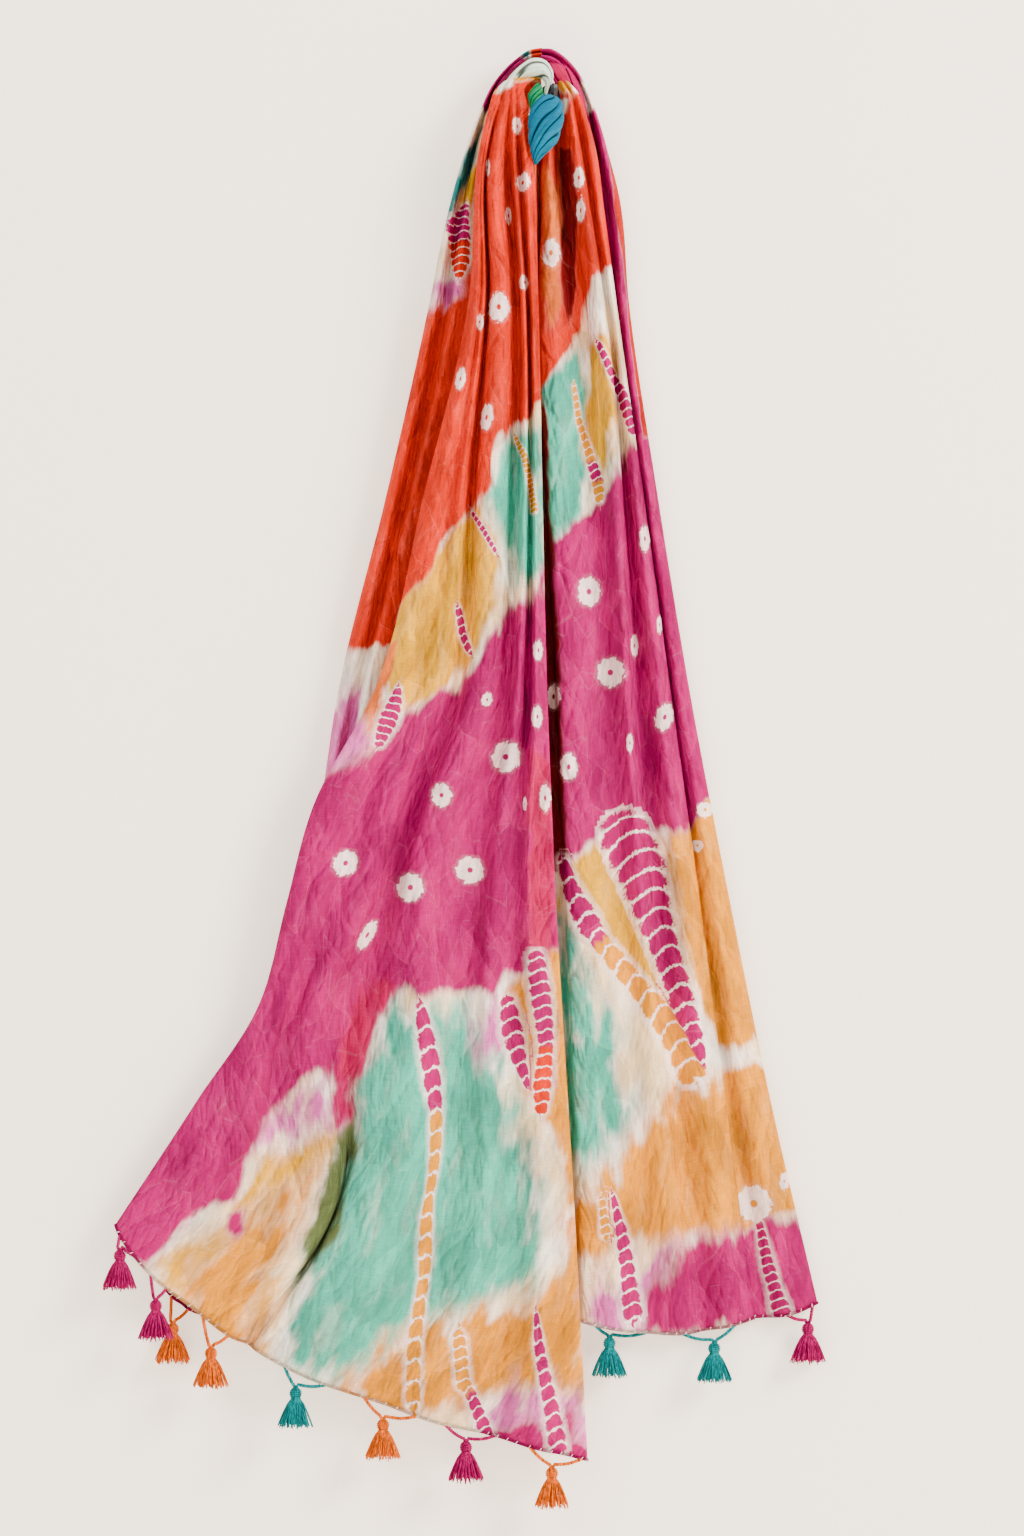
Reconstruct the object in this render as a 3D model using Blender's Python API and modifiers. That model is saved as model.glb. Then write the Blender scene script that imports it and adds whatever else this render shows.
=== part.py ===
"""Dupatta stole on a wall hook.

A long printed stole is folded near its middle and looped over a short steel hook. Two tails hang
from the knot, the front one longer than the back one, and both hems carry tassels on twisted
loops. Tables are in millimetres and the model is built in metres, with +Z up and the wall in the
plane y = 0. The origin is the centre of the hook's back plate. "Depth" is the distance in front of
the wall, so it runs along -Y.
"""

import math
from collections import namedtuple

import bmesh
import bpy
import numpy as np
from mathutils import Vector

MM = 0.001

# ---------------------------------------------------------------- driving dimensions, mm

CLOTH_THICKNESS = 1.0
HEM_THICKNESS = 2.0
SEAM_GAP = 0.3

PLATE_RADIUS = 11.0
PLATE_THICKNESS = 3.0
PLATE_BEVEL = 0.8
PLATE_SEGMENTS = 32
ROD_RADIUS = 2.6
ROD_BEND_STEPS = 4
HOOK_DROP = -4.0
HOOK_SLOPE_SHARE = 0.6
HOOK_SLOPE_DEPTH = 12.0
HOOK_LEVEL_DEPTH = 25.0
HOOK_ARM_DEPTH = 33.0
HOOK_TIP_DEPTH = 39.0
HOOK_TIP_RISE = 4.0

TASSEL_HEAD_RADIUS = 4.0
TASSEL_SKIRT_LENGTH = 19.0
TASSEL_SKIRT_RADIUS = 11.0
TASSEL_SEGMENTS = 7
TASSEL_RINGS = 5
STRAND_ROOT = 0.35
STRAND_CURVE = 0.8
INNER_STRAND_SPREAD = 0.5
STRAND_WAIST = 0.5
STRAND_WAIST_SIZE = 1.0
STRAND_TIP_SIZE = 1.25
LOOP_CORD_RADIUS = 0.9
LOOP_BOTTOM_RADIUS = 1.6
LOOP_SLACK = 0.07
LOOP_LEG_POINTS = 4
HEM_SAMPLES = 40
HEM_REACH = 1.5

# ---------------------------------------------------------------- cloth bands

# A band is one stretch of the folded cloth. Its stations run from the knot to the hem and hold
#   left x, left z, right x, right z   the ends of a line across the band
#   back, front                        depth of the deepest valley and of the highest crest
#   sag                                how far that line bows down between its ends
# Its folds run across the band, each with
#   name, start, shares, lifts
# where start is how far below the first station the fold begins, and a share (0 at the left end,
# 1 at the right) and a lift (0 in the valley, 1 on the crest) are given at each of the key stations.
Band = namedtuple("Band", "name stations keys folds sag_skew columns_per_fold rows crowding colour")

FRONT_TAIL = Band(
    name="front_tail",
    stations=[
        (-30.6, -15.0, -10.6, -12.0, 25.0, 25.8, 0.0),
        (-33.9, 2.0, -9.4, 9.4, 35.6, 36.8, -4.5),
        (-39.3, -2.7, -19.9, -0.7, 45.8, 47.8, -3.0),
        (-41.9, -10.0, -17.9, -8.7, 44.4, 49.4, 0.0),
        (-44.6, -18.0, -16.6, -16.7, 42.5, 52.0, 0.0),
        (-49.3, -40.0, -14.9, -40.0, 39.0, 55.0, 0.0),
        (-56.6, -140.0, -10.6, -140.0, 35.0, 56.0, 0.0),
        (-86.6, -270.0, -7.9, -270.0, 31.0, 53.0, 0.0),
        (-119.9, -400.0, -4.6, -400.0, 28.0, 49.0, 0.0),
        (-158.6, -472.0, -1.9, -471.3, 26.0, 46.0, 0.0),
        (-177.9, -540.0, 1.4, -548.0, 24.0, 44.0, 0.0),
        (-195.3, -604.7, 6.1, -624.7, 21.0, 42.0, 6.0),
        (-237.3, -671.3, 12.7, -731.3, 18.0, 40.0, 19.0),
        (-292.6, -755.3, 22.1, -911.3, 16.0, 38.0, 37.0),
    ],
    keys=(2, 5, 6, 8, 10, 11, 12, 13),
    folds=[
        ("panel_under", 0, (-.05, .07, .09, .06, .05, .05, .05, .04), (0.1, 0.1, 0.2, 0.1, 0.1, 0.0, 0.1, 0.1)),
        ("panel_edge", 0, (.00, .00, .00, .00, .00, .00, .00, .00), (0.5, 0.5, 0.5, 0.5, 0.4, 0.3, 0.4, 0.4)),
        ("panel_crest", 0, (.07, .05, .10, .12, .09, .07, .10, .08), (0.7, 0.8, 0.9, 0.8, 0.7, 0.7, 0.8, 0.8)),
        ("panel_dip", 0, (.13, .09, .17, .23, .18, .11, .20, .16), (0.6, 0.8, 0.7, 0.5, 0.5, 0.4, 0.4, 0.3)),
        ("roll_crest", 0, (.19, .13, .22, .35, .29, .18, .36, .24), (0.7, 0.8, 0.8, 0.8, 0.8, 0.8, 0.9, 0.8)),
        ("deep_fold", 0, (.26, .18, .28, .47, .37, .29, .40, .28), (0.4, 0.3, 0.1, 0.1, 0.1, 0.0, 0.0, 0.1)),
        ("over_edge", 0, (.33, .24, .34, .55, .44, .42, .425, .31), (0.7, 0.8, 0.8, 0.8, 0.8, 0.7, 0.6, 0.6)),
        ("centre_crest", 0, (.42, .37, .51, .65, .53, .52, .53, .42), (1.0, 1.0, 1.0, 0.9, 0.9, 0.9, 0.9, 0.9)),
        ("third_valley", 0, (.52, .55, .70, .75, .67, .65, .66, .56), (0.4, 0.2, 0.1, 0.2, 0.3, 0.3, 0.4, 0.3)),
        ("third_crest", 0, (.61, .65, .79, .83, .77, .75, .76, .68), (0.9, 0.9, 0.9, 0.9, 0.8, 0.9, 0.9, 0.9)),
        ("fourth_dip", 0, (.70, .75, .85, .89, .85, .83, .84, .79), (0.5, 0.3, 0.3, 0.3, 0.4, 0.4, 0.4, 0.3)),
        ("strip_crest", 0, (.79, .85, .91, .93, .90, .91, .91, .89), (0.9, 0.9, 0.9, 0.9, 0.8, 0.9, 0.9, 0.9)),
        ("strip_line", 0, (.88, .93, .955, .965, .93, .96, .96, .95), (0.7, 0.7, 0.7, 0.7, 0.5, 0.7, 0.7, 0.6)),
        ("strip_edge", 0, (.95, 1.0, 1.0, 1.0, 1.0, 1.0, 1.0, 1.0), (0.5, 0.6, 0.6, 0.6, 0.6, 0.6, 0.6, 0.6)),
        ("strip_under", 0, (1.0, .95, .96, .97, .97, .98, .98, .98), (0.1, 0.1, 0.1, 0.2, 0.2, 0.2, 0.2, 0.2)),
    ],
    sag_skew=0.66, columns_per_fold=2, rows=30, crowding=1.35, colour=(0.84, 0.25, 0.16))

BACK_TAIL = Band(
    name="back_tail",
    stations=[
        (-4.6, 12.0, 5.4, 14.8, 20.0, 22.0, 0.0),
        (-4.6, 2.0, 10.4, 7.0, 23.0, 31.0, 0.0),
        (-4.6, -6.0, 15.4, 1.0, 22.0, 36.0, 0.0),
        (-10.6, -22.0, 21.4, -14.0, 15.0, 38.0, 0.0),
        (-14.6, -46.0, 28.1, -38.0, 9.0, 38.0, 0.0),
        (-15.9, -81.3, 33.4, -76.0, 8.0, 36.0, 0.0),
        (-22.6, -140.0, 42.1, -140.0, 7.0, 32.0, 0.0),
        (-31.3, -270.0, 60.7, -270.0, 6.0, 28.0, 0.0),
        (-37.9, -400.0, 78.7, -400.0, 6.0, 27.0, 0.0),
        (-41.9, -540.0, 98.1, -540.0, 6.0, 26.0, 0.0),
        (-45.3, -680.0, 116.1, -680.0, 6.0, 24.0, 6.0),
        (-50.6, -804.7, 134.7, -819.0, 6.0, 22.0, 15.0),
    ],
    keys=(4, 6, 7, 8, 9, 11),
    folds=[
        ("hidden_edge", 30, (.00, .00, .00, .00, .00, .00), (0.2, 0.2, 0.2, 0.2, 0.2, 0.2)),
        ("hidden_crest", 30, (.05, .09, .12, .13, .14, .14), (0.5, 0.7, 0.7, 0.7, 0.7, 0.7)),
        ("slit_valley", 30, (.11, .17, .27, .32, .32, .33), (0.0, 0.0, 0.0, 0.0, 0.0, 0.1)),
        ("centre_edge", 30, (.17, .21, .31, .36, .37, .39), (0.4, 0.6, 0.8, 0.8, 0.8, 0.7)),
        ("centre_crest", 27, (.29, .36, .43, .48, .48, .51), (0.6, 0.7, 0.9, 0.9, 0.9, 0.9)),
        ("centre_dip", 21, (.44, .63, .62, .62, .62, .62), (0.1, 0.1, 0.3, 0.4, 0.4, 0.4)),
        ("bunch_left", 8, (.55, .72, .71, .70, .68, .68), (0.6, 0.8, 0.7, 0.7, 0.7, 0.7)),
        ("bunch_crest", 2, (.70, .83, .81, .75, .73, .75), (1.0, 1.0, 1.0, 1.0, 0.9, 0.9)),
        ("second_valley", 1, (.81, .91, .87, .83, .80, .82), (0.5, 0.3, 0.1, 0.1, 0.2, 0.3)),
        ("right_crest", 0, (.91, .96, .94, .93, .91, .91), (0.8, 0.8, 0.8, 0.8, 0.8, 0.8)),
        ("right_edge", 0, (1.0, 1.0, 1.0, 1.0, 1.0, 1.0), (0.6, 0.4, 0.3, 0.3, 0.3, 0.35)),
    ],
    sag_skew=1.4, columns_per_fold=2, rows=26, crowding=1.3, colour=(0.90, 0.38, 0.20))

LEFT_COLUMN = Band(
    name="left_column",
    stations=[
        (-7.9, 30.3, -7.9, 23.3, 18.0, 34.0, 0.0),
        (-16.6, 28.7, -15.3, 22.3, 17.0, 34.0, 0.0),
        (-24.9, 23.3, -22.3, 18.7, 15.0, 33.0, 0.0),
        (-33.3, 15.7, -28.6, 13.0, 13.0, 32.0, 0.0),
        (-41.9, 4.7, -35.3, 4.0, 12.0, 31.0, 0.0),
        (-47.9, -8.0, -38.6, -8.7, 11.0, 31.0, 0.0),
        (-53.9, -22.7, -41.3, -22.7, 11.0, 31.0, 0.0),
        (-59.9, -40.0, -43.9, -40.0, 11.0, 31.0, 0.0),
        (-72.6, -87.3, -49.3, -87.3, 11.0, 31.0, 0.0),
        (-83.3, -140.0, -52.6, -140.0, 11.0, 30.0, 0.0),
        (-112.6, -270.0, -81.3, -270.0, 9.0, 26.0, 0.0),
        (-144.6, -400.0, -113.3, -400.0, 7.0, 22.0, 0.0),
        (-155.9, -472.0, -134.6, -472.0, 6.0, 18.0, 0.0),
        (-169.3, -540.0, -145.9, -540.0, 5.0, 16.0, 0.0),
        (-179.9, -600.0, -159.3, -602.0, 5.0, 14.0, 0.0),
        (-221.3, -680.0, -194.6, -692.0, 5.0, 13.0, 2.0),
        (-260.6, -800.0, -236.6, -817.0, 5.0, 13.0, 2.0),
    ],
    keys=(0, 5, 9, 11, 16),
    folds=[
        ("column_under", 0, (.85, .45, .16, .12, .12), (0.0, 0.0, 0.0, 0.0, 0.0)),
        ("column_edge", 0, (.00, .00, .00, .00, .00), (0.4, 0.4, 0.4, 0.4, 0.4)),
        ("outer_crest", 0, (.22, .16, .14, .20, .24), (1.0, 1.0, 0.9, 1.0, 1.0)),
        ("outer_valley", 0, (.42, .36, .36, .42, .44), (0.6, 0.3, 0.1, 0.3, 0.3)),
        ("inner_crest", 0, (.66, .60, .58, .62, .66), (1.0, 0.9, 0.9, 0.8, 0.8)),
        ("inner_edge", 0, (1.0, 1.0, 1.0, 1.0, 1.0), (0.3, 0.1, 0.0, 0.1, 0.1)),
    ],
    sag_skew=1.0, columns_per_fold=2, rows=34, crowding=1.6, colour=(0.55, 0.68, 0.55))

RIGHT_COLUMN = Band(
    name="right_column",
    stations=[
        (-7.5, 22.0, -7.5, 30.3, 16.0, 36.0, 0.0),
        (-2.6, 20.7, -1.3, 29.7, 16.0, 37.0, 0.0),
        (2.4, 18.6, 5.7, 26.0, 14.0, 33.0, 0.0),
        (9.9, 12.5, 14.1, 18.3, 12.0, 27.0, 0.0),
        (16.9, 3.0, 21.0, 7.3, 9.0, 23.0, 0.0),
        (20.4, -6.0, 26.1, -4.7, 7.0, 20.0, 0.0),
        (21.9, -20.0, 31.2, -19.1, 5.0, 18.0, 0.0),
        (24.1, -40.0, 37.1, -40.0, 4.0, 17.0, 0.0),
        (27.4, -62.7, 43.1, -62.7, 3.5, 15.0, 0.0),
        (35.4, -140.0, 50.7, -140.0, 3.5, 14.0, 0.0),
        (52.1, -270.0, 70.1, -270.0, 3.5, 14.0, 0.0),
        (68.7, -400.0, 91.4, -400.0, 3.5, 14.0, 0.0),
        (87.4, -540.0, 118.1, -540.0, 3.5, 14.0, 0.0),
        (105.4, -680.0, 146.7, -680.0, 3.5, 14.0, 2.0),
        (123.4, -817.0, 176.7, -809.3, 3.5, 14.0, 5.0),
    ],
    keys=(0, 5, 9, 11, 14),
    folds=[
        ("inner_edge", 0, (.00, .00, .00, .00, .00), (0.7, 0.3, 0.1, 0.1, 0.1)),
        ("inner_crest", 0, (.25, .25, .25, .22, .20), (1.0, 0.7, 0.4, 0.4, 0.5)),
        ("middle_valley", 0, (.50, .46, .42, .40, .38), (0.6, 0.2, 0.0, 0.0, 0.1)),
        ("outer_crest", 0, (.75, .78, .72, .68, .66), (1.0, 1.0, 1.0, 1.0, 1.0)),
        ("column_edge", 0, (1.0, 1.0, 1.0, 1.0, 1.0), (0.3, 0.5, 0.5, 0.5, 0.5)),
        ("column_under", 0, (.45, .60, .80, .86, .90), (0.0, 0.0, 0.0, 0.0, 0.1)),
    ],
    sag_skew=1.0, columns_per_fold=2, rows=30, crowding=1.6, colour=(0.85, 0.06, 0.35))

BANDS = (LEFT_COLUMN, FRONT_TAIL, BACK_TAIL, RIGHT_COLUMN)

# ---------------------------------------------------------------- tight bunches in the knot

# A bunch is a solid twist of cloth. Its sections run along it and hold
#   side a x, side a z, side b x, side b z, depth of the middle, half depth
Bunch = namedtuple("Bunch", "name sections pleats twist groove segments rings colour")

BUNCHES = (
    Bunch("inner_arch", [
        (-31.6, 10.6, -30.8, 9.8, 37.0, 1.0),
        (-28.9, 15.5, -26.4, 10.2, 37.6, 3.6),
        (-23.7, 22.1, -20.2, 13.0, 37.6, 6.0),
        (-14.8, 24.4, -15.0, 12.8, 38.3, 6.2),
        (-5.4, 21.2, -9.6, 11.4, 39.0, 6.0),
        (-1.0, 14.4, -7.4, 8.4, 38.5, 6.0),
        (-0.8, 8.0, -6.0, 4.6, 38.5, 5.0),
        (-4.4, 1.0, -6.8, 0.6, 38.0, 3.6),
        (-5.0, -4.0, -6.0, -4.2, 38.0, 1.0),
    ], pleats=5, twist=1.2, groove=0.10, segments=20, rings=14, colour=(0.72, 0.78, 0.66)),
    Bunch("knot_green", [
        (-11.8, 4.6, -10.0, 5.0, 41.0, 1.6),
        (-14.2, 1.6, -8.2, 2.4, 41.5, 4.2),
        (-17.2, -3.4, -7.6, -3.0, 42.0, 5.4),
        (-16.4, -9.4, -10.8, -9.6, 42.0, 5.2),
        (-15.6, -15.4, -14.6, -15.8, 42.0, 2.0),
    ], pleats=4, twist=1.5, groove=0.08, segments=18, rings=9, colour=(0.05, 0.55, 0.33)),
    Bunch("knot_teal", [
        (-4.6, -5.0, 0.4, -5.4, 51.0, 2.0),
        (-10.0, -12.7, 4.0, -12.0, 52.5, 6.2),
        (-13.8, -20.6, 5.0, -18.6, 53.0, 7.8),
        (-14.0, -29.3, 3.2, -27.6, 53.0, 8.0),
        (-14.2, -38.0, -1.9, -37.3, 52.0, 6.6),
        (-13.6, -44.7, -7.6, -44.7, 50.0, 4.2),
        (-12.8, -50.0, -11.0, -50.0, 48.6, 1.2),
    ], pleats=6, twist=3.4, groove=0.07, segments=26, rings=13, colour=(0.0, 0.38, 0.53)),
)

# ---------------------------------------------------------------- tassels

# Each tassel hangs from a twisted loop whose two ends meet the hem of a band:
#   band, x of the loop's first end, x of its second end, x and z of the top of the tassel's head
TASSEL_COLOURS = {
    "magenta": (0.58, 0.0, 0.18),
    "orange": (1.0, 0.19, 0.0),
    "teal": (0.0, 0.36, 0.38),
}
TASSELS = (
    (FRONT_TAIL, -291.0, -281.6, -289.4, -771.0, "magenta"),
    (FRONT_TAIL, -268.8, -257.0, -265.2, -804.0, "magenta"),
    (LEFT_COLUMN, -257.6, -244.6, -255.4, -822.0, "orange"),
    (FRONT_TAIL, -235.3, -215.6, -228.6, -836.0, "orange"),
    (FRONT_TAIL, -179.9, -151.3, -171.9, -862.0, "teal"),
    (FRONT_TAIL, -125.9, -92.6, -113.9, -884.0, "orange"),
    (FRONT_TAIL, -70.6, -40.6, -58.6, -898.7, "magenta"),
    (FRONT_TAIL, -17.3, 17.4, -1.3, -915.5, "orange"),
    (BACK_TAIL, 26.7, 63.4, 37.4, -831.0, "teal"),
    (BACK_TAIL, 88.1, 122.4, 107.4, -834.0, "teal"),
    (RIGHT_COLUMN, 155.4, 175.0, 170.6, -822.0, "magenta"),
)


# ---------------------------------------------------------------- helpers

def smooth(knots, values, at):
    """Read a smooth curve through `values`, one row for each of the rising `knots`, at each `at`."""
    knots = np.asarray(knots, float)
    values = np.asarray(values, float)
    at = np.clip(np.atleast_1d(at), knots[0], knots[-1])
    slopes = np.gradient(values, knots, axis=0)
    index = np.clip(np.searchsorted(knots, at, side="right") - 1, 0, len(knots) - 2)
    step = knots[index + 1] - knots[index]
    f = (at - knots[index]) / step
    shape = (-1,) + (1,) * (values.ndim - 1)
    f = f.reshape(shape)
    step = step.reshape(shape)
    start_weight = 2 * f ** 3 - 3 * f ** 2 + 1
    start_slope = f ** 3 - 2 * f ** 2 + f
    end_slope = f ** 3 - f ** 2
    return (start_weight * values[index] + (1 - start_weight) * values[index + 1]
            + step * (start_slope * slopes[index] + end_slope * slopes[index + 1]))


def station_positions(band):
    """Distance of each station from the first one, measured down the middle of the band."""
    left_x, left_z, right_x, right_z, back, front, _ = np.diff(band.stations, axis=0).T
    forward = (back + front) / 2
    left = np.sqrt(left_x ** 2 + left_z ** 2 + forward ** 2)
    right = np.sqrt(right_x ** 2 + right_z ** 2 + forward ** 2)
    return np.concatenate([[0.0], np.cumsum((left + right) / 2)])


def band_points(band, across, along):
    """Points of a band's middle surface in metres, one row for each `along`, 0 at the knot."""
    positions = station_positions(band)
    key_positions = positions[list(band.keys)]
    fold_numbers = np.arange(len(band.folds))
    starts = smooth(fold_numbers, [fold[1] for fold in band.folds], across)
    shares = np.array([fold[2] for fold in band.folds]).T
    lifts = np.array([fold[3] for fold in band.folds]).T
    points = np.empty((len(along), len(across), 3))
    for column, (fold_at, start) in enumerate(zip(across, starts)):
        at = start + (positions[-1] - start) * along
        left_x, left_z, right_x, right_z, back, front, sag = smooth(positions, band.stations, at).T
        share = smooth(fold_numbers, smooth(key_positions, shares, at).T, fold_at)[0]
        lift = smooth(fold_numbers, smooth(key_positions, lifts, at).T, fold_at)[0]
        bow = np.sin(math.pi * np.clip(share, 0, 1) ** band.sag_skew)
        points[:, column, 0] = left_x + (right_x - left_x) * share
        points[:, column, 1] = -(back + (front - back) * lift)
        points[:, column, 2] = left_z + (right_z - left_z) * share - sag * bow
    return points * MM


def make_material(name, colour, roughness, metallic=0.0):
    material = bpy.data.materials.new(name)
    material.use_nodes = True
    shader = material.node_tree.nodes["Principled BSDF"]
    shader.inputs["Base Color"].default_value = (*colour, 1.0)
    shader.inputs["Roughness"].default_value = roughness
    shader.inputs["Metallic"].default_value = metallic
    material.diffuse_color = (*colour, 1.0)
    return material


def adopt(obj, name, collection, material):
    """Name an object, give it its material and move it to the stole's collection."""
    obj.name = name
    obj.data.name = name
    obj.data.materials.clear()
    obj.data.materials.append(material)
    for other in list(obj.users_collection):
        other.objects.unlink(obj)
    collection.objects.link(obj)
    return obj


def mesh_from_curve(curve_object):
    """Replace a curve object by a mesh object whose caps are welded."""
    graph = bpy.context.evaluated_depsgraph_get()
    mesh = bpy.data.meshes.new_from_object(curve_object.evaluated_get(graph))
    obj = bpy.data.objects.new(curve_object.name, mesh)
    obj.matrix_world = curve_object.matrix_world
    bpy.data.objects.remove(curve_object)
    shape = bmesh.new()
    shape.from_mesh(mesh)
    bmesh.ops.remove_doubles(shape, verts=shape.verts, dist=1e-6)
    bmesh.ops.recalc_face_normals(shape, faces=shape.faces)
    shape.to_mesh(mesh)
    shape.free()
    return obj


def add_rod(points, radius):
    """A round rod or cord through points in metres."""
    data = bpy.data.curves.new("rod", "CURVE")
    data.dimensions = "3D"
    data.bevel_depth = radius
    data.bevel_resolution = 2
    data.use_fill_caps = True
    spline = data.splines.new("POLY")
    spline.points.add(len(points) - 1)
    for spline_point, point in zip(spline.points, points):
        spline_point.co = (*point, 1.0)
    obj = bpy.data.objects.new("rod", data)
    bpy.context.collection.objects.link(obj)
    bpy.context.view_layer.update()
    return mesh_from_curve(obj)


# ---------------------------------------------------------------- the pieces

def build_band(band, collection):
    """One stretch of cloth: a grid laid over the folds, thickened, with a thicker rolled hem."""
    columns = band.columns_per_fold * (len(band.folds) - 1) + 1
    across = np.linspace(0, len(band.folds) - 1, columns)
    along = np.linspace(0, 1, band.rows) ** band.crowding
    points = band_points(band, across, along)
    bpy.ops.mesh.primitive_grid_add(x_subdivisions=columns - 1, y_subdivisions=band.rows - 1)
    obj = bpy.context.object
    obj.data.vertices.foreach_set("co", points.ravel())
    adopt(obj, band.name, collection, make_material(band.name, band.colour, 0.75))
    group = obj.vertex_groups.new(name="thickness")
    hem_row = (band.rows - 1) * columns
    group.add(list(range(hem_row)), CLOTH_THICKNESS / HEM_THICKNESS, "REPLACE")
    group.add(list(range(hem_row, hem_row + columns)), 1.0, "REPLACE")
    wall = obj.modifiers.new("wall", "SOLIDIFY")
    wall.thickness = HEM_THICKNESS * MM
    wall.offset = 0.0
    wall.vertex_group = group.name
    obj.data.shade_smooth()


def build_bunch(bunch, collection):
    """A twist of cloth in the knot, its pleats winding round it."""
    bpy.ops.mesh.primitive_uv_sphere_add(segments=bunch.segments, ring_count=bunch.rings, radius=1.0)
    obj = bpy.context.object
    last = len(bunch.sections) - 1
    for vertex in obj.data.vertices:
        polar = math.acos(max(-1.0, min(1.0, vertex.co.z))) / math.pi
        turn = math.atan2(vertex.co.y, vertex.co.x)
        at_pole = polar < 1e-4 or polar > 1 - 1e-4
        section = smooth(range(last + 1), bunch.sections, [polar * last])[0]
        side_a = np.array([section[0], -section[4], section[1]])
        side_b = np.array([section[2], -section[4], section[3]])
        middle = (side_a + side_b) / 2
        ridge = 1 + bunch.groove * math.cos(bunch.pleats * turn + bunch.twist * 2 * math.pi * polar)
        reach = 0.0 if at_pole else ridge
        offset = (side_b - side_a) / 2 * math.cos(turn) * reach
        offset[1] -= section[5] * math.sin(turn) * reach
        vertex.co = Vector((middle + offset) * MM)
    shape = bmesh.new()
    shape.from_mesh(obj.data)
    bmesh.ops.recalc_face_normals(shape, faces=shape.faces)
    shape.to_mesh(obj.data)
    shape.free()
    adopt(obj, bunch.name, collection, make_material(bunch.name, bunch.colour, 0.7))
    obj.data.shade_smooth()


def build_hook(collection):
    """A round wall plate and an upturned steel rod, joined into one solid."""
    metal = make_material("wall_hook", (0.09, 0.09, 0.10), 0.45, 1.0)
    bpy.ops.mesh.primitive_cylinder_add(vertices=PLATE_SEGMENTS, radius=PLATE_RADIUS * MM, depth=PLATE_THICKNESS * MM,
                                        location=(0, -PLATE_THICKNESS / 2 * MM, 0),
                                        rotation=(math.pi / 2, 0, 0))
    plate = bpy.context.object
    bpy.ops.object.transform_apply(location=True, rotation=True)
    adopt(plate, "wall_hook", collection, metal)
    bend = [(PLATE_THICKNESS / 2, 0.0), (HOOK_SLOPE_DEPTH, HOOK_DROP * HOOK_SLOPE_SHARE),
            (HOOK_LEVEL_DEPTH, HOOK_DROP)]
    reach = HOOK_TIP_DEPTH - HOOK_ARM_DEPTH
    for step in range(1, ROD_BEND_STEPS + 1):
        turn = step / ROD_BEND_STEPS * math.pi / 2
        bend.append((HOOK_ARM_DEPTH + reach * math.sin(turn), HOOK_DROP + reach * (1 - math.cos(turn))))
    bend.append((HOOK_TIP_DEPTH, HOOK_TIP_RISE))
    rod = add_rod([Vector((0, -depth, z)) * MM for depth, z in bend], ROD_RADIUS * MM)
    cutters = bpy.data.collections.new("cutters")
    bpy.context.scene.collection.children.link(cutters)
    adopt(rod, "hook_rod", cutters, metal)
    rod.hide_render = True
    rod.display_type = "WIRE"
    edge = plate.modifiers.new("edge", "BEVEL")
    edge.width = PLATE_BEVEL * MM
    edge.segments = 2
    join = plate.modifiers.new("rod", "BOOLEAN")
    join.operation = "UNION"
    join.object = rod
    join.solver = "EXACT"


def below_hem(band, x, distance):
    """The point at `distance` in mm square below the frontmost part of a band's hem at x in mm."""
    across = np.linspace(0, len(band.folds) - 1, HEM_SAMPLES * len(band.folds))
    hem = band_points(band, across, np.array([1.0]))[0]
    offsets = np.abs(hem[:, 0] - x * MM)
    near = np.flatnonzero(offsets <= max(HEM_REACH * MM, offsets.min()))
    index = near[np.argmin(hem[near, 1])]
    before, after = hem[max(index - HEM_SAMPLES // 2, 0)], hem[min(index + HEM_SAMPLES // 2, len(hem) - 1)]
    along = Vector((after[0] - before[0], 0, after[2] - before[2])).normalized()
    down = Vector((along.z, 0, -along.x))
    if down.z > 0:
        down.negate()
    return Vector(hem[index]) + down * distance * MM


def build_loop(number, band, first_x, second_x, head_x, head_z, collection, material):
    """The cord that carries a tassel: down from the hem, under a knot, and up to the hem again."""
    first = below_hem(band, first_x, LOOP_CORD_RADIUS + SEAM_GAP)
    second = below_hem(band, second_x, LOOP_CORD_RADIUS + SEAM_GAP)
    depth = (first.y + second.y) / 2
    bottom = Vector((head_x * MM, depth, head_z * MM))
    turn_centre = bottom + Vector((0, 0, LOOP_BOTTOM_RADIUS * MM))
    points = []
    for end, side in ((first, -1), (second, 1)):
        leg_foot = turn_centre + Vector((side * LOOP_BOTTOM_RADIUS * MM, 0, 0))
        leg = []
        for step in range(LOOP_LEG_POINTS):
            nearness = step / (LOOP_LEG_POINTS - 1)
            point = leg_foot.lerp(end, nearness)
            point.z -= LOOP_SLACK * (end - leg_foot).length * math.sin(math.pi * nearness)
            leg.append(point)
        points.append(leg)
    quarter = LOOP_BOTTOM_RADIUS * MM * math.sqrt(0.5)
    bend = [turn_centre + Vector((-quarter, 0, -quarter)), bottom, turn_centre + Vector((quarter, 0, -quarter))]
    points = points[0][::-1] + bend + points[1]
    loop = add_rod(points, LOOP_CORD_RADIUS * MM)
    adopt(loop, "tassel_loop_%02d" % number, collection, material)
    loop.data.shade_smooth()
    return bottom


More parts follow.
